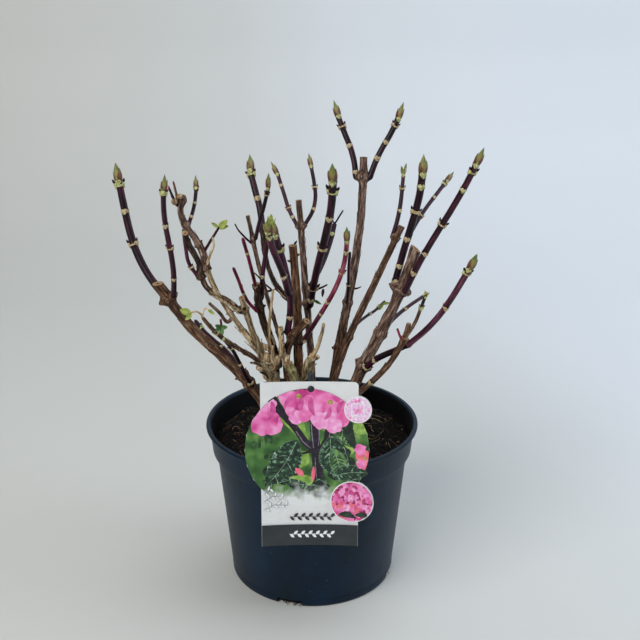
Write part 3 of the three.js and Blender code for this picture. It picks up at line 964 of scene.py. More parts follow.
def add_leaf(mesh, material, foot, tip, face, width, cup):
    """A small pointed leaf with a toothed edge, folded a little along its midrib."""
    foot = np.array(foot, float)
    length = np.linalg.norm(tip - foot)
    axis = (tip - foot) / length
    face = square_to(np.array(face, float), axis)
    across = np.cross(axis, face)
    grid = []
    for i, t in enumerate(np.linspace(0.02, 1, 12)):
        half = width / 2 * (math.sin(math.pi * t ** 0.8) ** 0.75 + 0.04) * (1.12 if i % 2 else 0.95)
        bow = -0.12 * length * math.sin(math.pi * t) * cup
        grid.append([foot + axis * length * t + across * u * half + face * (abs(u) * half * cup + bow)
                     for u in np.linspace(-1, 1, 7)])
    add_sheet(mesh, grid, 0.28, material)


def add_small_growth():
    twigs = Mesh()
    for number, (look, foot_width, tip_width, cut, line) in enumerate(TWIGS):
        limb, i = nearest_limb(np.array(line[0], float), LIMBS.values())
        root = limb.path.points[i]
        line = [root, *[np.array(p, float) for p in line]]
        if np.linalg.norm(line[1] - root) < 1.5:
            line.pop(1)
        add_tube(twigs, line, (foot_width, tip_width), look, number * 1.7, cut)
    for number, (look, width, length, middle, along) in enumerate(KNOBS):
        along, middle = unit(np.array(along, float)), np.array(middle, float)
        limb, i = nearest_limb(middle, LIMBS.values())
        root, radius = limb.path.points[i], limb.path.radii[i]
        if look != "pink" and width < BROAD_KNOB and np.linalg.norm(middle - root) > radius:
            middle = root + unit(middle - root) * radius
        add_blob(twigs, middle, along, square_to(FRONT, along), length, width, LOOKS[look],
                 seed=number * 3.1)
    twigs.build("small_twigs", "young_bark")
    leaves = Mesh()
    for material, foot, tip, face, width, cup in LEAVES:
        add_leaf(leaves, material, foot, tip, face, width, cup)
    leaves.build("small_leaves", "young_bark")


ODD_ENDS = {
    "shoot_right_front": "knobs", "shoot_right_slim": "leaflets",
    "shoot_centre_front": "opening", "shoot_left_inner": "leaflets",
}


def add_end(mesh, limb):
    """The end of a shoot: a pointed bud, or one that opens, two leaflets, or a cluster of knobs."""
    path = limb.path
    base, along, front, side = path.points[-1], path.along[-1], path.front[-1], path.side[-1]
    kind = ODD_ENDS.get(limb.name, "bud")
    chance = random.Random(limb.seed + 1)
    length = np.linalg.norm(limb.tip - base)
    if kind in ("bud", "opening"):
        tip = limb.tip if kind == "bud" else base + (limb.tip - base) * 0.8
        add_bud(mesh, base - along * 0.5, tip, front, limb.width, limb.seed)
    if kind == "opening":
        for turn, reach, width in ((0.3, 0.98, 5.5), (1.7, 0.86, 4.6), (3.0, 0.9, 5), (4.4, 0.94, 4.8),
                                   (5.4, 0.72, 4.0)):
            away = around(front, side, turn)
            foot = base + away * limb.width * 0.3 + along * 1.0
            tip = base + along * length * reach + away * limb.width * (0.35 if reach > 0.9 else 0.75)
            add_leaf(mesh, LEAF_FRESH, foot, tip, away, width, 0.5)
    if kind == "leaflets":
        for turn, reach in ((1.2, 0.8), (-1.5, 0.6)):
            away = around(front, side, turn)
            tip = base + along * length * reach + away * 2.6
            add_leaf(mesh, BUD_GREEN, base + away * 0.4, tip, front + away * 0.6, 3.4, 0.7)
        add_blob(mesh, base + along * 1.2, along, front, 6.0, limb.width * 0.8, BUD_GREEN, seed=2)
    if kind == "knobs":
        add_tube(mesh, [base - along, (base + limb.tip) / 2, limb.tip], (limb.width, limb.width * 0.9),
                 "purple", 4, True)
        base, along = limb.tip, unit(limb.tip - base)
        for k in range(9):
            away = around(front, side, k * 2.4)
            middle = base + along * (-4.5 + 0.6 * k) + away * limb.width * (0.5 - 0.03 * k)
            add_blob(mesh, middle, unit(away + along * 0.7), unit(np.cross(away, along)),
                     chance.uniform(2.8, 4.0), chance.uniform(2.2, 3.2), JOINT_GREEN, seed=k)


for each_limb in LIMBS.values():
    dress(each_limb)
add_small_growth()


# ---- Loose bark ----
THIN_RADIUS = 2.2
FLAKE_SPACING = 5


def add_bark_strip(mesh, limb, lengths, columns, thickness, look, place, runs_on=False):
    """A strip of bark along a limb, straight on past its end if it runs on.

    `place` gives the angle and the distance off the limb's middle.
    """
    grid = []
    for t, length in zip(np.linspace(0, 1, len(lengths)), lengths):
        point, radius, along, front, side = limb.path.at(length)
        spare = max(0, length - limb.path.length) if runs_on else 0
        row = []
        for u in columns:
            angle, out = place(t, u, radius)
            row.append(point + along * spare + around(front, side, angle) * out)
        grid.append(row)
    add_sheet(mesh, grid, thickness, LOOKS[look])


def add_bark_flakes():
    """Thin lifting strips and curls of bark on the old canes, thickest at their feet."""
    chance = random.Random(31)
    mesh = Mesh()
    for name, limb in LIMBS.items():
        look, _ = LIMB_LOOKS[name]
        if look in YOUNG or limb.path.radii.max() < THIN_RADIUS:
            continue
        shaft = limb.path.length - limb.root
        for _ in range(int(shaft / FLAKE_SPACING)):
            share = chance.random() ** 1.7
            start = limb.root + share * (shaft - 14)
            length = chance.uniform(5, 16)
            turn = chance.uniform(0, TAU)
            width = chance.uniform(0.6, 1.7)
            lift = chance.uniform(0.2, 1.3)
            twist = chance.uniform(-0.25, 0.25)

            def place(t, u, radius):
                angle = turn + twist * t + u * width * (1 - 0.6 * t) / (2 * radius)
                return angle, radius * 1.02 + lift * t * t

            tone = chance.choice([look, look, "straw" if share < 0.2 else "grey", "dark"])
            lengths = start + length * np.linspace(0, 1, 7)
            add_bark_strip(mesh, limb, lengths, (-1, 0, 1), 0.22, tone, place)
    mesh.build("bark_flakes", "old_bark")


RAGGED = (
    "cane_left_foot", "cane_left_low", "cane_left_olive", "cane_left_middle", "cane_left_inner",
    "cane_left_stub", "cane_centre_stub", "stub_olive", "stub_tan", "cane_crossing", "cane_centre",
)


def add_ragged_bark():
    """Long torn straws of bark about the feet of the old canes in the middle of the pot."""
    chance = random.Random(77)
    mesh = Mesh()
    for name in RAGGED:
        limb = LIMBS[name]
        reach = min(58, limb.path.length - limb.root)
        for _ in range(13 if name != "cane_centre" else 7):
            length = chance.uniform(10, 30)
            start = limb.root - 3 + chance.uniform(0, max(3, reach - length))
            turn, width = chance.uniform(0, TAU), chance.uniform(1.4, 3.8)
            lift, twist = chance.uniform(0.3, 5.0) * chance.random(), chance.uniform(-0.4, 0.4)

            def place(t, u, radius):
                taper = (1 - 0.75 * t ** 2) * (1 + 0.3 * wander(t * 5, u, start))
                angle = turn + twist * t + u * width * taper / (2 * radius)
                return angle, radius * 1.06 + 0.2 + 0.4 * (1 - u * u) + lift * t * t

            tone = chance.choices(("straw", "tan", "grey", "olive"), (5, 3, 1, 1))[0]
            lengths = start + length * np.linspace(0, 1, 10)
            add_bark_strip(mesh, limb, lengths, (-1, -0.4, 0.4, 1), 0.3, tone, place, runs_on=True)
    mesh.build("ragged_bark", "old_bark")


add_bark_flakes()
add_ragged_bark()


# ---- Pot ----
POT_OUTSIDE = (
    (86.4, 0), (88.3, 1.9), (88.8, 8.5), (88.55, 9), (101.8, 144.1), (106, 146), (108.5, 170.9),
    (112.5, 172.8), (112.5, 175.05), (111.55, 176), (108.35, 176),
)
POT_INSIDE = ((106.6, 172.8), (104.1, 147.9), (99.9, 144.1), (86.4, 2.5))
NOTCH_TURNS = [math.radians(-106 + 90 * i) for i in range(4)]


def rounded(profile, reach, steps=4):
    """The same outline with each inner corner eased into a small curve."""
    profile = [np.array(p, float) for p in profile]
    eased = [profile[0]]
    for before, corner, after in zip(profile, profile[1:], profile[2:]):
        ends = []
        for other in (before, after):
            gap = np.linalg.norm(other - corner)
            ends.append(corner + (other - corner) * min(reach, 0.45 * gap) / gap)
        for t in np.linspace(0, 1, steps):
            eased.append((1 - t) ** 2 * ends[0] + 2 * t * (1 - t) * corner + t * t * ends[1])
    return eased + [profile[-1]]


def filled(profile, spacing):
    """The outline with long stretches divided so that the skin can carry small waves."""
    line = [profile[0]]
    for a, b in zip(profile, profile[1:]):
        count = max(1, int(np.linalg.norm(b - a) / spacing))
        line += [a + (b - a) * k / count for k in range(1, count + 1)]
    return line


POT_SKIN = patterned(
    "pot_plastic", tones("010c1a 03162a 072037", 0.3, 0.55, 0.8), size=45, fine=0.45, shade=(0.85, 1.15),
    roughness=(0.36, 0.54), relief=0.03, specks=("8d98a0", 1.1, 0.775), grain=False,
    Specular_IOR_Level=0.3, Specular_Tint=(0.62, 0.84, 1.0, 1),
)
# Painted shade: the pot's inner wall and floor are painted near black, darker than its navy outside, for the
# shade inside the pot; the sparse brown specks are compost dirt.
POT_INSIDE_SHADE_AND_DIRT = patterned(
    "pot_lining", tones("030405 050607 0c0a09", 0.3, 0.6, 0.8), size=12, fine=0.6,
    roughness=(0.6, 0.85), relief=0.06, specks=("30221a", 1.3, 0.74), grain=False,
    Specular_IOR_Level=0.2,
)
FOOT_RADIUS = 88.3
SHARP_ANGLE = 35


def turned(along, across, height, turn):
    """The place that is `along` the direction at a turn about the pot's middle, and `across` it."""
    c, s = math.cos(turn), math.sin(turn)
    return along * c - across * s, along * s + across * c, height


def box_cutter(turn):
    """The block that cuts one notch out of the pot's foot."""
    corners = [turned(FOOT_RADIUS + x, y, z, turn) for x in (-12, 12) for y in (-13.5, 13.5) for z in (-7, 7)]
    faces = [(0, 1, 3, 2), (4, 6, 7, 5), (0, 4, 5, 1), (2, 3, 7, 6), (0, 2, 6, 4), (1, 5, 7, 3)]
    data = bpy.data.meshes.new("notch_block")
    data.from_pydata((np.array(corners) * MM).tolist(), [], faces)
    return new_object("notch_block", data)


def circle(radius, height, turn):
    return np.column_stack([radius * np.cos(turn), radius * np.sin(turn), np.full(len(turn), height)])


def add_pot():
    turn = turns(160)
    outer = filled(rounded(POT_OUTSIDE, 0.9), 6)
    inner = filled(rounded([POT_OUTSIDE[-1], *POT_INSIDE], 0.9), 8)[1:]
    grid = []
    for radius, height in outer + inner:
        wave = [0.12 * wander_round(a, 1.6, height / 60) for a in turn]
        grid.append(circle(radius + np.array(wave) * (0 if height < 12 else 1), height, turn))
    kinds = [POT_SKIN] * (len(outer) * len(turn)) + [POT_INSIDE_SHADE_AND_DIRT] * ((len(inner) - 1) * len(turn))
    kinds += [POT_SKIN] * len(turn) + [POT_INSIDE_SHADE_AND_DIRT] * len(turn)
    mesh = Mesh()
    add_closed(mesh, grid, (0, 0, 0.6), (0, 0, POT_INSIDE[-1][1]), kinds)
    pot = mesh.build("pot_skin", "pot_plastic", ["pot"], smooth_angle=SHARP_ANGLE)
    cutters = [box_cutter(a) for a in NOTCH_TURNS]
    for cutter in cutters:
        cut = pot.modifiers.new("cut", "BOOLEAN")
        cut.object, cut.operation, cut.solver = cutter, "DIFFERENCE", "EXACT"
    bpy.context.view_layer.update()
    result = bpy.data.meshes.new_from_object(pot.evaluated_get(bpy.context.evaluated_depsgraph_get()))
    pot.modifiers.clear()
    pot.data = result
    result.set_sharp_from_angle(angle=math.radians(SHARP_ANGLE))
    for cutter in cutters:
        bpy.data.objects.remove(cutter)


add_pot()

# ---- Compost ----
EARTH = patterned(
    "compost", tones("020101 060403 0d0806 1c120c", 0.3, 0.5, 0.65, 0.8), size=4, fine=0.8,
    shade=(0.5, 1.5), roughness=(0.85, 1.0), relief=1.2, grain=False, Specular_IOR_Level=0.15,
)
CRUMB_LOOKS = [
    patterned("crumb_" + name, tones(text), size=1.5, fine=0.4, roughness=(0.8, 1.0), relief=0.3)
    for name, text in (("dark", "030202 0e0906"), ("brown", "0c0704 1d120b"), ("tan", "4a341f 7a5c3a"))
]
FIBRE_LOOKS = [
    patterned("fibre_" + name, tones(text), size=1.5, fine=0.3, roughness=(0.7, 0.95), relief=0.1)
    for name, text in (
        ("dark", "0a0604 1c100a"), ("red", "2a140c 55301e"), ("brown", "46301e 7c5a3c"),
        ("tan", "7c6242 c4a57c"),
    )
]
COMPOST_EDGE = 104.4
COMPOST_TOP = 157.4
CRUMB_COUNT, FIBRE_COUNT = 1500, 1000


def compost_height(x, y):
    reach = math.hypot(x, y) / COMPOST_EDGE
    lump = 2.2 * wander(x / 17, y / 17, 3) + 1.3 * wander(x / 6, y / 6, 9) + 0.8 * wander(x / 2.4, y / 2.4, 5)
    return COMPOST_TOP - 3 * (max(0, reach - 0.82) / 0.18) ** 1.5 + lump


def scattered(chance, radius):
    """A random place in a circle about the middle."""
    reach, turn = radius * math.sqrt(chance.random()), chance.uniform(0, TAU)
    return reach * math.cos(turn), reach * math.sin(turn)


def add_compost():
    turn = turns(190)
    grid = [circle(r, z, turn) for r, z in ((86.0, 3.1), (99.5, 144), (103.4, 148.4))]
    for radius in np.linspace(COMPOST_EDGE, 1.2, 64):
        ring = circle(radius, 0.0, turn)
        ring[:, 2] = [compost_height(x, y) for x, y, _ in ring]
        grid.append(ring)
    mesh = Mesh()
    add_closed(mesh, grid, (0, 0, 3.1), (0, 0, compost_height(0, 0)), EARTH)
    mesh.build("compost_soil", "compost", ["compost"], smooth_angle=80)


def add_crumbs():
    """Small lumps of compost and chips, lying on it."""
    chance = random.Random(7)
    mesh = Mesh()
    for _ in range(CRUMB_COUNT):
        x, y = scattered(chance, COMPOST_EDGE * 0.97)
        size = 0.5 + 2.1 * chance.random() ** 3
        middle = np.array((x, y, compost_height(x, y) + 0.1 * size))
        along = unit(np.array([chance.uniform(-1, 1), chance.uniform(-1, 1), chance.uniform(-0.3, 0.5)]))
        side = unit(np.cross(along, (0.1, 0.2, 1.0)))
        up = np.cross(along, side)
        points = []
        for a, b, c in ((1.5, 0, 0), (-1.5, 0, 0), (0, 1, 0), (0, -1, 0), (0, 0, 1), (0, 0, -1)):
            jolt = [chance.uniform(-0.35, 0.35) for _ in range(3)]
            points.append(middle + size * ((a + jolt[0]) * along + (b + jolt[1]) * side * 0.8
                                           + (c + jolt[2]) * up * 0.6))
        faces = [(0, 2, 4), (2, 1, 4), (1, 3, 4), (3, 0, 4), (2, 0, 5), (1, 2, 5), (3, 1, 5), (0, 3, 5)]
        if np.linalg.det(np.array([along, side, up])) < 0:
            faces = [face[::-1] for face in faces]
        tone = chance.choices(CRUMB_LOOKS, (6, 3, 0.5))[0]
        mesh.add(points, faces, tone)
    mesh.build("compost_crumbs", "compost")


def add_fibre(mesh, line, radius, material):
    """A three-sided strand along a line, closed at both ends."""
    line = np.array(line)
    along = np.gradient(line, axis=0)
    side = unit(np.cross(along, UP + 0.01))
    up = unit(np.cross(side, along))
    grid = line[:, None] + radius * around(side[:, None], up[:, None], turns(3))
    count = len(line)
    faces = [tuple(reversed(face)) for face in ring_faces(count, 3)]
    faces += [(0, 1, 2), (3 * count - 1, 3 * count - 2, 3 * count - 3)]
    mesh.add(grid, faces, material)


def add_fibres():
    """Loose rootlets and coir strands over the compost, the paler ones more common in the right half of the
    pot.
    """
    chance = random.Random(12)
    mesh = Mesh()
    for _ in range(FIBRE_COUNT):
        x, y = scattered(chance, COMPOST_EDGE * 0.95)
        heading = chance.uniform(0, TAU)
        length = 4 + 22 * chance.random() ** 2
        bend = chance.uniform(-0.16, 0.16)
        arch = chance.uniform(0.2, 1.0) + 2.6 * chance.random() ** 4
        line = []
        for step in range(9):
            line.append((x, y, compost_height(x, y) + 0.15 + arch * math.sin(math.pi * step / 8)))
            heading += bend + chance.uniform(-0.22, 0.22)
            x += length / 8 * math.cos(heading)
            y += length / 8 * math.sin(heading)
        if max(math.hypot(a, b) for a, b, _ in line) > COMPOST_EDGE - 0.6:
            continue
        bright = 1.2 if line[0][0] > 35 else 0.6
        tone = chance.choices(FIBRE_LOOKS, (5, 2.5, 1.8 * bright, 2 * bright))[0]
        add_fibre(mesh, line, chance.uniform(0.12, 0.3), tone)
    mesh.build("compost_fibres", "compost")


def add_roots():
    """Torn roots and compost showing at the notches in the pot's foot."""
    chance = random.Random(5)
    mesh = Mesh()
    for number, turn in enumerate(NOTCH_TURNS):
        for _ in range(46 if number == 0 else 18):
            offset = chance.uniform(-12.5, 12.5)
            radius, height = chance.uniform(77, 82), chance.uniform(2, 6.4)
            outward = chance.uniform(0.3, 1.0)
            drift, drop = chance.uniform(-1, 1), chance.uniform(0.3, 1.0)
            line = []
            for step in range(7):
                t = step / 6
                y = offset + drift * 4 * t * t + chance.uniform(-0.3, 0.3)
                z = max(0.5, height * (1 - drop * t * t))
                line.append(turned(radius + outward * 7.5 * t, y, z, turn))
            add_fibre(mesh, line, chance.uniform(0.2, 0.5), chance.choices(FIBRE_LOOKS, (6, 2, 1, 0.4))[0])
    mesh.build("notch_roots", "compost")


add_compost()
add_crumbs()
add_fibres()
add_roots()

# ---- Stake and pin ----
STAKE_PLASTIC = patterned(
    "stake_plastic", tones("10161d 1c252e"), size=8, fine=0.4, roughness=(0.35, 0.5), relief=0.03,
    grain=False,
)
LEAN = math.radians(9)
CARD_FACE = np.array((0, -math.cos(LEAN), math.sin(LEAN)))
CARD_UP = np.array((0, math.sin(LEAN), math.cos(LEAN)))
CARD_FOOT = np.array((-2.5, -126.5, 100))
CARD_HALF, CARD_BOW = 46.8, 3.5
STAKE_FOOT = np.array((-1, -95.8, 156.0))
PIN_PLACE = (1.5, 159)


def card_point(u, v, lift=0.0):
    """A place on the card: u across from its middle, v up from its foot, lifted off its face."""
    return CARD_FOOT + RIGHT * u + CARD_UP * v + CARD_FACE * (CARD_BOW * (u / 47) ** 2 + lift)


def add_turned(mesh, foot, axis, profile, material):
    """A solid of revolution from (distance along the axis, radius) pairs that start and end at 0."""
    across = unit(np.cross(axis, (0.3, 0.2, 0.1)))
    ring = around(across, np.cross(axis, across), turns(28))
    grid = [foot + axis * s + ring * r for s, r in profile[1:-1]]
    add_closed(mesh, grid, foot + axis * profile[0][0], foot + axis * profile[-1][0], material)


def add_stake():
    mesh = Mesh()
    post = [(0, 0), (0, 2.4), (0.6, 3.0), (30, 3.02), (60, 2.95), (90, 3.0), (112, 3.0)]
    post += [(113 + 3 * math.sin(a), 3 * math.cos(a)) for a in np.linspace(0.1, 1.5, 8)] + [(116.1, 0)]
    add_turned(mesh, STAKE_FOOT, UP, post, STAKE_PLASTIC)
    pin = [(-6, 0), (-6, 0.9), (-5.8, 1.1), (0.2, 1.1), (0.25, 2.9), (0.5, 3.2), (0.9, 3.2)]
    pin += [(0.9 + math.sin(a), 3.2 * math.cos(a) ** 0.7) for a in np.linspace(0.25, 1.5, 7)] + [(1.95, 0)]
    add_turned(mesh, card_point(*PIN_PLACE), CARD_FACE, pin, STAKE_PLASTIC)
    mesh.build("stake_and_pin", "stake_plastic", ["label_stake"])


add_stake()


# ---- Card ----
CARD_WHITE = patterned(
    "card_stock", tones("d6d9dc e2e5e7"), size=20, fine=0.5, shade=(0.97, 1.02), roughness=(0.4, 0.55),
    relief=0.02, specks=("b0b4b6", 0.7, 0.8), grain=False,
)
FADE_FROM, FADE_TO, FADED = 62, 47, "dfe3e6"


def printed(name, stops, size, fade):
    """Ink on the card: a soft wander of colour, fading into the white paper lower down if asked."""
    tree = Tree(name)
    place = tree.place(True)
    colour = tree.ramp(tree.noise(place, size, detail=1.5), stops)
    small = tree.noise(place, 0.5, detail=2)
    colour = tree.shaded(colour, small, (0.93, 1.07))
    if fade:
        height = tree.sum(tree.part(place, 1), tree.span(tree.noise(place, 9.0, detail=1), -6, 6))
        colour = tree.mix(tree.span(height, 1, 0, (FADE_TO, FADE_FROM)), colour, hex_colour(FADED))
    return tree.complete(colour, small, (0.38, 0.5), 0.01)


# Each ink: its name, its colours, their places on the ramp, the size of its patches, and whether it
# fades out lower down.
PAIR, EVEN, LATE = (0.3, 0.7), (0.3, 0.5, 0.7), (0.3, 0.6, 0.8)
INK = {
    name: printed("ink_" + name, list(zip(places, text.split())), size, fade)
    for name, text, places, size, fade in (
        ("green", "1c3a18 35602c 54823e 8cae5c", (0.3, 0.45, 0.58, 0.72), 18, True),
        ("lime", "64903a 8ab050 b4ce7c", (0.3, 0.5, 0.75), 8, True),
        ("leaf", "142c1a 28492a 4c7345", EVEN, 6, True),
        ("deep", "0b1813 152a20 2a4433", EVEN, 6, True),
        ("vein", "456a50 7c9c84 b4ccbc", (0.35, 0.5, 0.68), 4, True),
        ("night", "0f1c16 2c4434", PAIR, 5, False),
        ("stem", "0f0c14 241b2c 4a3f55", (0.35, 0.6, 0.8), 5, True),
        ("gleam", "5e5068 9c8ea4", PAIR, 5, True),
        ("petal", "bc3480 d9529e ea78ba f4a2d6", (0.34, 0.45, 0.56, 0.68), 18, False),
        ("sage", "2a4c2a 4d7a44 86aa68", (0.32, 0.5, 0.68), 6, True),
        ("fold", "c03c86 d862a8", (0.35, 0.65), 7, False),
        ("crinkle", "0c1812 1a3626 34593f 86a890", (0.36, 0.5, 0.6, 0.72), 5, True),
        ("rose", "c9357f dd559b ee86bd", EVEN, 9, False),
        ("pink", "dc5aa2 ea7cbc f3a6d6", EVEN, 9, False),
        ("blush", "e77fc0 f09cd4 f7c2e6", EVEN, 7, False),
        ("wine", "8c1f52 b23a70 cc5a8c", LATE, 7, False),
        ("coral", "e0506e ee7c90 f6a8ac", LATE, 7, False),
        ("eye", "8a7a3a c0a868", PAIR, 3, False),
        ("white", "e4e7ea eff1f3", PAIR, 12, False),
        ("lilac", "dfa4dc ecc4ea f6e0f4", EVEN, 3, False),
        ("band", "23282c 2e3438", PAIR, 18, False),
        ("line", "6a7074 8c9296", PAIR, 6, False),
        ("dark", "1b2024 343a3e", PAIR, 6, False),
    )
}
# Wide shapes are divided this often, so that they follow the bow of the card.
BEND_SPACING = 6


class Print:
    """Thin inked shapes laid over each other on the card's face."""

    def __init__(self):
        self.mesh = Mesh()
        self.lift = 0.08

    def shape(self, outline, ink, step=0.006):
        flat = bmesh.new()
        flat.faces.new([flat.verts.new((u, v, 0)) for u, v in outline])
        bmesh.ops.triangulate(flat, faces=flat.faces[:])
        low, high = min(u for u, _ in outline), max(u for u, _ in outline)
        for cut in range(math.ceil(low / BEND_SPACING) * BEND_SPACING, math.ceil(high), BEND_SPACING):
            every = flat.verts[:] + flat.edges[:] + flat.faces[:]
            bmesh.ops.bisect_plane(flat, geom=every, plane_co=(cut, 0, 0), plane_no=(1, 0, 0), dist=0.001)
        flat.verts.index_update()
        places = [(v.co.x, v.co.y, 0) for v in flat.verts]
        faces = [[v.index for v in f.verts][:: 1 if f.normal.z > 0 else -1] for f in flat.faces]
        points = [card_point(u, v, self.lift) for u, v, _ in places]
        self.mesh.add(points, faces, INK[ink], places)
        flat.free()
        self.lift += step


def disc(u, v, radius, sides=40, squash=1.0, turn=0.0, wobble=0.0, seed=0.0):
    """The outline of a round shape, flattened, turned and wavy if asked."""
    points = []
    for a in turns(sides):
        reach = radius * (1 + wobble * wander_round(a, 1.5, seed, seed))
        x, y, _ = turned(reach * math.cos(a), reach * squash * math.sin(a), 0, turn)
        points.append((u + x, v + y))
    return points


def at_turn(u, v, reach, turn):
    return u + reach * math.cos(turn), v + reach * math.sin(turn)


def toward(foot, tip):
    """The length of the line from foot to tip, and its direction."""
    across, up = tip[0] - foot[0], tip[1] - foot[1]
    length = math.hypot(across, up)
    return length, across / length, up / length


def leaf(foot, tip, width, teeth=0, bend=0.0):
    """A pointed leaf outline, with a toothed edge and a sideways bend if asked."""
    (a, b), (length, x, y) = foot, toward(foot, tip)
    count = max(14, 2 * teeth)
    edges = ([], [])
    for k in range(1, count):
        t = k / count
        half = width / 2 * math.sin(math.pi * t ** 0.85) ** 0.8
        half *= 1 + (0.12 if teeth and k % 2 else -0.04)
        sway = bend * length * math.sin(math.pi * t)
        for edge, side in zip(edges, (1, -1)):
            off = sway + side * half
            edge.append((a + x * length * t - y * off, b + y * length * t + x * off))
    return [foot, *edges[1], tip, *reversed(edges[0])]


def strip(line, widths):
    """The outline of a band of changing width along a line."""
    left, right = [], []
    for k, (u, v) in enumerate(line):
        _, x, y = toward(line[max(0, k - 1)], line[min(len(line) - 1, k + 1)])
        half = widths[k] / 2
        left.append((u - y * half, v + x * half))
        right.append((u + y * half, v - x * half))
    return left + right[::-1]


def within(outline, centre, radius):
    """The outline with any point outside a circle pulled back onto it."""
    u, v = centre
    held = []
    for a, b in outline:
        gap = math.hypot(a - u, b - v)
        share = min(1, radius / gap) if gap else 1
        held.append((u + (a - u) * share, v + (b - v) * share))
    return held


def draw_floret(art, u, v, radius, ink, chance, centre, limit):
    """Four or five rounded petals about a small eye."""
    count = chance.choice((4, 4, 5))
    start = chance.uniform(0, TAU)
    for k in range(count):
        a = start + TAU * k / count
        middle = at_turn(u, v, 0.55 * radius, a)
        petal = disc(*middle, 0.58 * radius, 14, 0.85, a, 0.2, chance.random() * 9)
        tone = ink if chance.random() < 0.6 else chance.choice(("rose", "pink", "blush", "wine"))
        art.shape(within(petal, centre, limit), tone, 0.003)
    art.shape(within(disc(u, v, 0.13 * radius, 8), centre, limit), "eye", 0.002)


def draw_big_leaf(art, foot, tip, width, bend, chance, ink):
    """A dark hanging leaf with a toothed pale edge and pale side veins."""
    art.shape(leaf(foot, tip, width * 1.02, 22, bend), "vein")
    art.shape(leaf(foot, tip, width * 0.97, 22, bend), ink)
    (a, b), (length, x, y) = foot, toward(foot, tip)

    def place(t, off):
        sway = bend * length * math.sin(math.pi * t) + off
        return a + x * length * t - y * sway, b + y * length * t + x * sway

    for t in np.arange(0.16, 0.86, 0.11):
        half = 0.44 * width * math.sin(math.pi * t ** 0.85) ** 0.8
        for side in (1, -1):
            line = [place(t + 0.02 + 0.11 * s ** 1.5, side * half * s) for s in (0.05, 0.4, 0.75, 1.0)]
            art.shape(strip(line, (1.2, 1.1, 0.9, 0.4)), "deep", 0.003)
            patch = [place(t + 0.05 + 0.11 * s ** 1.5, side * half * s) for s in (0.15, 0.5, 0.85)]
            if chance.random() < 0.75:
                wide = chance.uniform(0.7, 1.5)
                art.shape(strip(patch, (0.2, wide, 0.2)), chance.choice(("vein", "leaf")), 0.003)
    art.shape(strip([place(t, 0) for t in np.linspace(0.03, 0.95, 9)], [0.6] * 5 + [0.4] * 4), "vein")


PICTURE = ((-2.4, 99.5), 59.7)
BLOOM = ((41.0, 46.0), 21.0)
SPOT = ((46.4, 139.5), 13.2)


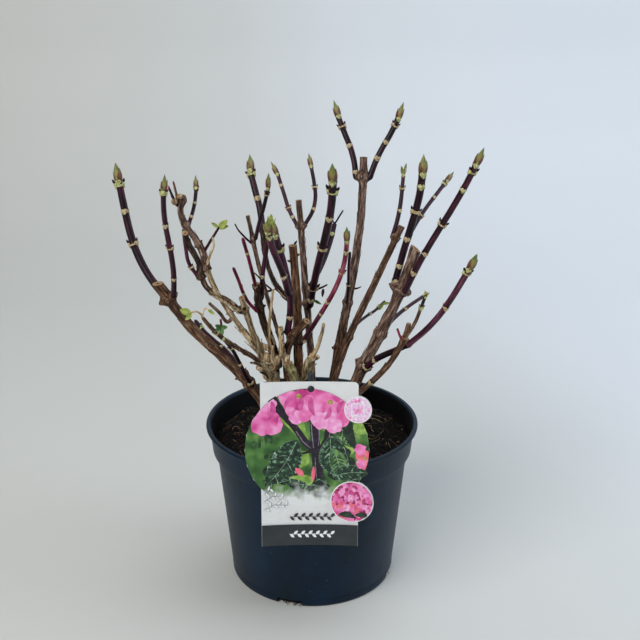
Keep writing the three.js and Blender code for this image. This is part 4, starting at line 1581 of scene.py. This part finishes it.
def draw_picture(art):
    """A close view of blooms over dark stems and ribbed leaves, with everything behind it blurred."""
    centre, radius = PICTURE
    chance = random.Random(23)
    art.shape(disc(*centre, radius, 120), "green")

    def soft(u, v, size, ink, squash=1.0, turn=0.0):
        art.shape(within(disc(u, v, size, 30, squash, turn, 0.35, u + v), centre, radius), ink)

    for u, v, size, squash, turn in (
        (-44, 108, 13, 0.5, 0.4), (-34, 92, 10, 0.6, 0.2), (-8, 88, 9, 0.8, 0.9), (22, 128, 12, 0.6, 0.8),
        (50, 122, 9, 0.9, 0.2), (-20, 78, 8, 0.6, 2.6), (33, 96, 9, 0.7, 0.3),
    ):
        soft(u, v, size, "leaf" if u < -30 else "lime", squash, turn)
    art.shape(leaf((-35, 136), (-12, 112), 9, 0, 0.12), "lime")
    art.shape(leaf((-8, 130), (0, 104), 7, 0, -0.1), "lime")
    draw_big_leaf(art, (20, 126), (43, 102), 16, 0.1, chance, "sage")
    art.shape(within(leaf((38, 134), (46, 98), 10, 10, -0.12), centre, radius), "deep")
    for line, widths in (
        ([(-36, 150), (-28, 138), (-15, 122), (-4, 106), (5, 98)], (9, 8, 6.5, 7, 8)),
        ([(4, 130), (5, 115), (6, 98), (8, 80), (9, 62), (9, 50)], (8, 8.5, 9.5, 10, 11, 10)),
        ([(19, 122), (17, 108), (12, 98), (10, 90)], (7.5, 7, 8, 6)),
        ([(-14, 97), (-7, 94.5), (3, 97)], (1, 2.2, 3)),
    ):
        art.shape(strip(line, widths), "stem")
    for line in (
        [(1.5, 128), (2.5, 112), (4, 100)], [(9, 124), (9.5, 112), (8.5, 102)],
        [(5.4, 90), (6, 76), (7.5, 64)], [(-13, 117), (-6, 106), (1, 99.5)], [(20, 118), (18.2, 106)],
    ):
        art.shape(strip(line, [0.6, *[1.1] * (len(line) - 2), 0.5]), "gleam")
    for u, v, size in ((28, 96, 11), (34, 84, 12), (24, 76, 9), (-18, 72, 9), (-32, 74, 12), (16, 86, 6)):
        soft(u, v, size, "deep", 0.8, u)
    for foot, tip, width, bend, ink in (
        ((-12, 108), (-43, 62), 26, 0.06, "crinkle"), ((20, 112), (37, 68), 25, -0.12, "crinkle"),
        ((22, 100), (29, 68), 15, 0.08, "sage"), ((22, 71), (57, 76), 15, 0.06, "crinkle"),
        ((12, 64), (-27, 70), 16, 0.1, "crinkle"),
    ):
        draw_big_leaf(art, foot, tip, width, bend, chance, ink)
    art.shape(leaf((8, 56), (-20, 70), 8, 0, -0.2), "lime")
    art.shape(leaf((-6, 72), (-14, 80), 6), "coral")
    art.shape(leaf((3, 66), (4, 82), 4), "coral")
    for u, v, size in ((9, 66, 6.5), (4, 61, 5), (15, 60, 5)):
        art.shape(disc(u, v, size, 24, 0.6, 0.5, 0.3, u), "deep")
        rib = [(u - size * 0.7, v), (u, v + size * 0.35), (u + size * 0.7, v)]
        art.shape(strip(rib, (0.4, 0.9, 0.4)), "vein")
    for u, v, size, ink in (
        (-46, 126, 12, "petal"), (-35, 123, 10, "pink"), (-38, 131, 10, "petal"), (-42, 139, 9, "pink"),
        (-37, 144, 7, "blush"), (-21, 151, 9, "pink"), (-14, 141, 11, "pink"), (-12, 131, 8, "blush"),
        (-8, 148, 12, "petal"), (4, 152, 10, "petal"), (14, 151, 11, "petal"), (0, 141, 11, "pink"),
        (26, 146, 12, "petal"), (33, 139, 11, "pink"), (10, 139, 10, "petal"), (21, 137, 12, "pink"),
        (9, 128, 9, "blush"), (30, 130, 9, "pink"), (17, 128, 10, "blush"), (24, 122, 8, "blush"),
        (-4, 133, 8, "pink"),
    ):
        soft(u, v, size, ink, 0.85, chance.uniform(0, TAU))
    for foot, tip, width, bend in (
        ((-12, 156), (-9, 136), 7, 0.1), ((2, 152), (5, 132), 6, -0.1), ((20, 142), (14, 128), 4.5, 0.12),
        ((-20, 150), (-24, 140), 4, 0), ((33, 148), (27, 134), 5, -0.1), ((-36, 148), (-40, 128), 6, 0.15),
    ):
        art.shape(within(leaf(foot, tip, width, 0, bend), centre, radius), "fold")
    for u, v in ((-10, 152), (20, 146)):
        soft(u, v, 2.6, "eye")
    for u, v, size, ink in (
        (52, 92, 8, "coral"), (49, 100, 6, "pink"), (55, 84, 6, "coral"), (50, 85, 5, "pink"),
    ):
        soft(u, v, size, ink, 0.85)
    soft(53, 91, 1.8, "eye")


def draw_bloom(art):
    """A round inset with one full flower head and a dark leaf under it."""
    centre, radius = BLOOM
    chance = random.Random(41)
    art.shape(disc(*centre, radius, 90), "white")
    inner = radius - 1.1
    art.shape(disc(*centre, inner, 90), "wine")
    for _ in range(64):
        u, v = np.add(centre, scattered(chance, inner * 0.97))
        ink = chance.choice(("pink", "pink", "blush", "rose", "coral"))
        draw_floret(art, u, v, chance.uniform(2.6, 4.4), ink, chance, centre, inner)
    for foot, tip, width in (((28, 33), (45, 30), 6), ((44, 33), (58, 31), 5)):
        art.shape(within(leaf(foot, tip, width, 8, 0.1), centre, inner), "night")


def draw_spot(art):
    """A round sticker in pale lilac with a white square and one plain flower in it."""
    centre, radius = SPOT
    u, v = centre
    chance = random.Random(3)
    art.shape(disc(*centre, radius, 70), "white")
    art.shape(disc(*centre, radius - 0.9, 70), "lilac")
    for _ in range(40):
        a = chance.uniform(0, TAU)
        reach = (radius - 1.2) * chance.uniform(0.72, 0.98)
        petal = disc(*at_turn(u, v, reach, a), chance.uniform(0.7, 1.5), 10, 0.7, a)
        ink = chance.choice(("blush", "lilac", "white", "pink"))
        art.shape(within(petal, centre, radius - 1.0), ink, 0.003)
    art.shape(disc(u, v, 9.2, 4, 1, math.pi / 4), "white")
    art.shape(disc(u, v, 8.0, 4, 1, math.pi / 4), "lilac")
    for k in range(5):
        a = math.pi / 2 + TAU * k / 5
        art.shape(disc(*at_turn(u, v, 2.5, a), 2.1, 16, 0.8, a), "blush")
    art.shape(disc(u, v, 0.9, 12), "eye")


def draw_foot(art):
    """The white foot of the card with a faint spray of leaf outlines, and the dark band under it."""
    chance = random.Random(17)
    art.shape([(-CARD_HALF, 0.4), (CARD_HALF, 0.4), (CARD_HALF, 22), (-CARD_HALF, 22)], "band")
    for u in (-46.7, 46.7):
        art.shape(strip([(u, 0.4), (u, 21.8)], (0.35, 0.35)), "line")
    for line in (
        [(-45, 46), (-36, 52), (-26, 50)], [(-45, 38), (-34, 43), (-22, 42)], [(-44, 54), (-38, 60)],
    ):
        art.shape(strip(line, [0.35] * len(line)), "line", 0.003)
        for k in range(3 * (len(line) - 1)):
            t = (k + 0.7) / (3 * (len(line) - 1))
            u, v = [np.interp(t, np.linspace(0, 1, len(line)), numbers) for numbers in zip(*line)]
            a = chance.uniform(0.5, 1.3) * (1 if k % 2 else -1) + 0.3
            tip = at_turn(u, v, chance.uniform(4.0, 5.6), a)
            art.shape(leaf((u, v), tip, 2.6), "line", 0.003)
            art.shape(leaf(at_turn(u, v, 0.25, a), tip, 2.0), "white", 0.003)
    for height, ink, size in ((30, "dark", 5.6), (12, "white", 5.2)):
        art.shape(strip([(-20, height), (22, height)], (0.5, 0.5)), ink, 0.003)
        for k, u in enumerate(np.arange(-19, 22, 3.6)):
            tip = at_turn(u, height, size, 0.75 if k % 2 else -0.75)
            art.shape(leaf((u, height), tip, 2.9), ink, 0.003)


def add_card():
    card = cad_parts["label_card"]
    card.data.materials.clear()
    card.data.materials.append(CARD_WHITE)
    art = Print()
    for draw in (draw_picture, draw_foot, draw_bloom, draw_spot):
        draw(art)
    art.mesh.build("card_print", "label_card")


add_card()


# ---- Floor and light ----
def add_stage():
    """A pale floor that sweeps up into a wall."""
    profile = [(-3.0, 0.0), (0.9, 0.0), (1.15, 0.02), (1.35, 0.09), (1.5, 0.22), (1.58, 0.4), (1.6, 4.0)]
    points = [(x, y, z) for y, z in profile for x in (-5, 5)]
    faces = [(2 * i, 2 * i + 1, 2 * i + 3, 2 * i + 2) for i in range(len(profile) - 1)]
    data = bpy.data.meshes.new("sweep")
    data.from_pydata(points, [], faces)
    data.shade_smooth()
    sweep = new_object("sweep", data)
    tree = Tree("sweep")
    place = tree.place(False)
    # Painted light and shadow: the colour runs from a darker, warmer grey at the left front to a brighter,
    # bluer white at the right and back, with a darker grey stretch on the right behind the pot where its
    # shadow falls.
    back = tree.node("ShaderNodeMath", operation="MULTIPLY_ADD")
    back.inputs[1].default_value = 0.35
    tree.link(tree.part(place, 1), back.inputs[0])
    tree.link(tree.part(place, 0), back.inputs[2])
    across = tree.span(back.outputs[0], 0, 1, (-600, 900))
    colour = tree.ramp(across, tones("c9cac5 ced0ce d1d4d4 dbe0e5 dde3e9", 0.0, 0.45, 0.63, 0.82, 1.0))
    tree.link(colour, tree.shader.inputs["Base Color"])
    tree.link(tree.span(tree.noise(place, 60), 0.6, 0.7), tree.shader.inputs["Roughness"])
    data.materials.append(tree.material)


def add_light(name, location, aim, size, watts, colour):
    data = bpy.data.lights.new(name, "AREA")
    data.shape = "RECTANGLE"
    data.size, data.size_y = size
    data.energy = watts
    data.color = hex_colour(colour)[:3]
    light = new_object(name, data)
    light.location = location
    light.rotation_mode = "QUATERNION"
    light.rotation_quaternion = (Vector(aim) - Vector(location)).to_track_quat("-Z", "Y")


def add_world():
    world = bpy.data.worlds.new("soft_room")
    world.use_nodes = True
    background = world.node_tree.nodes["Background"]
    background.inputs["Color"].default_value = hex_colour("e8ecee")
    background.inputs["Strength"].default_value = 0.16
    bpy.context.scene.world = world


add_stage()
add_world()
add_light("window", (-1.5, -2.0, 1.9), (0, 0.1, 0.25), (2.2, 1.7), 66, "fffdf8")
add_light("ceiling", (0.8, 0.4, 2.7), (0.3, 0.6, 0.2), (2.8, 2.4), 33, "f4f9ff")
add_light("bounce", (2.4, -0.3, 1.3), (0, 0.3, 0.3), (1.4, 1.6), 21, "e6f0ff")
bpy.context.scene.view_settings.view_transform = "Standard"
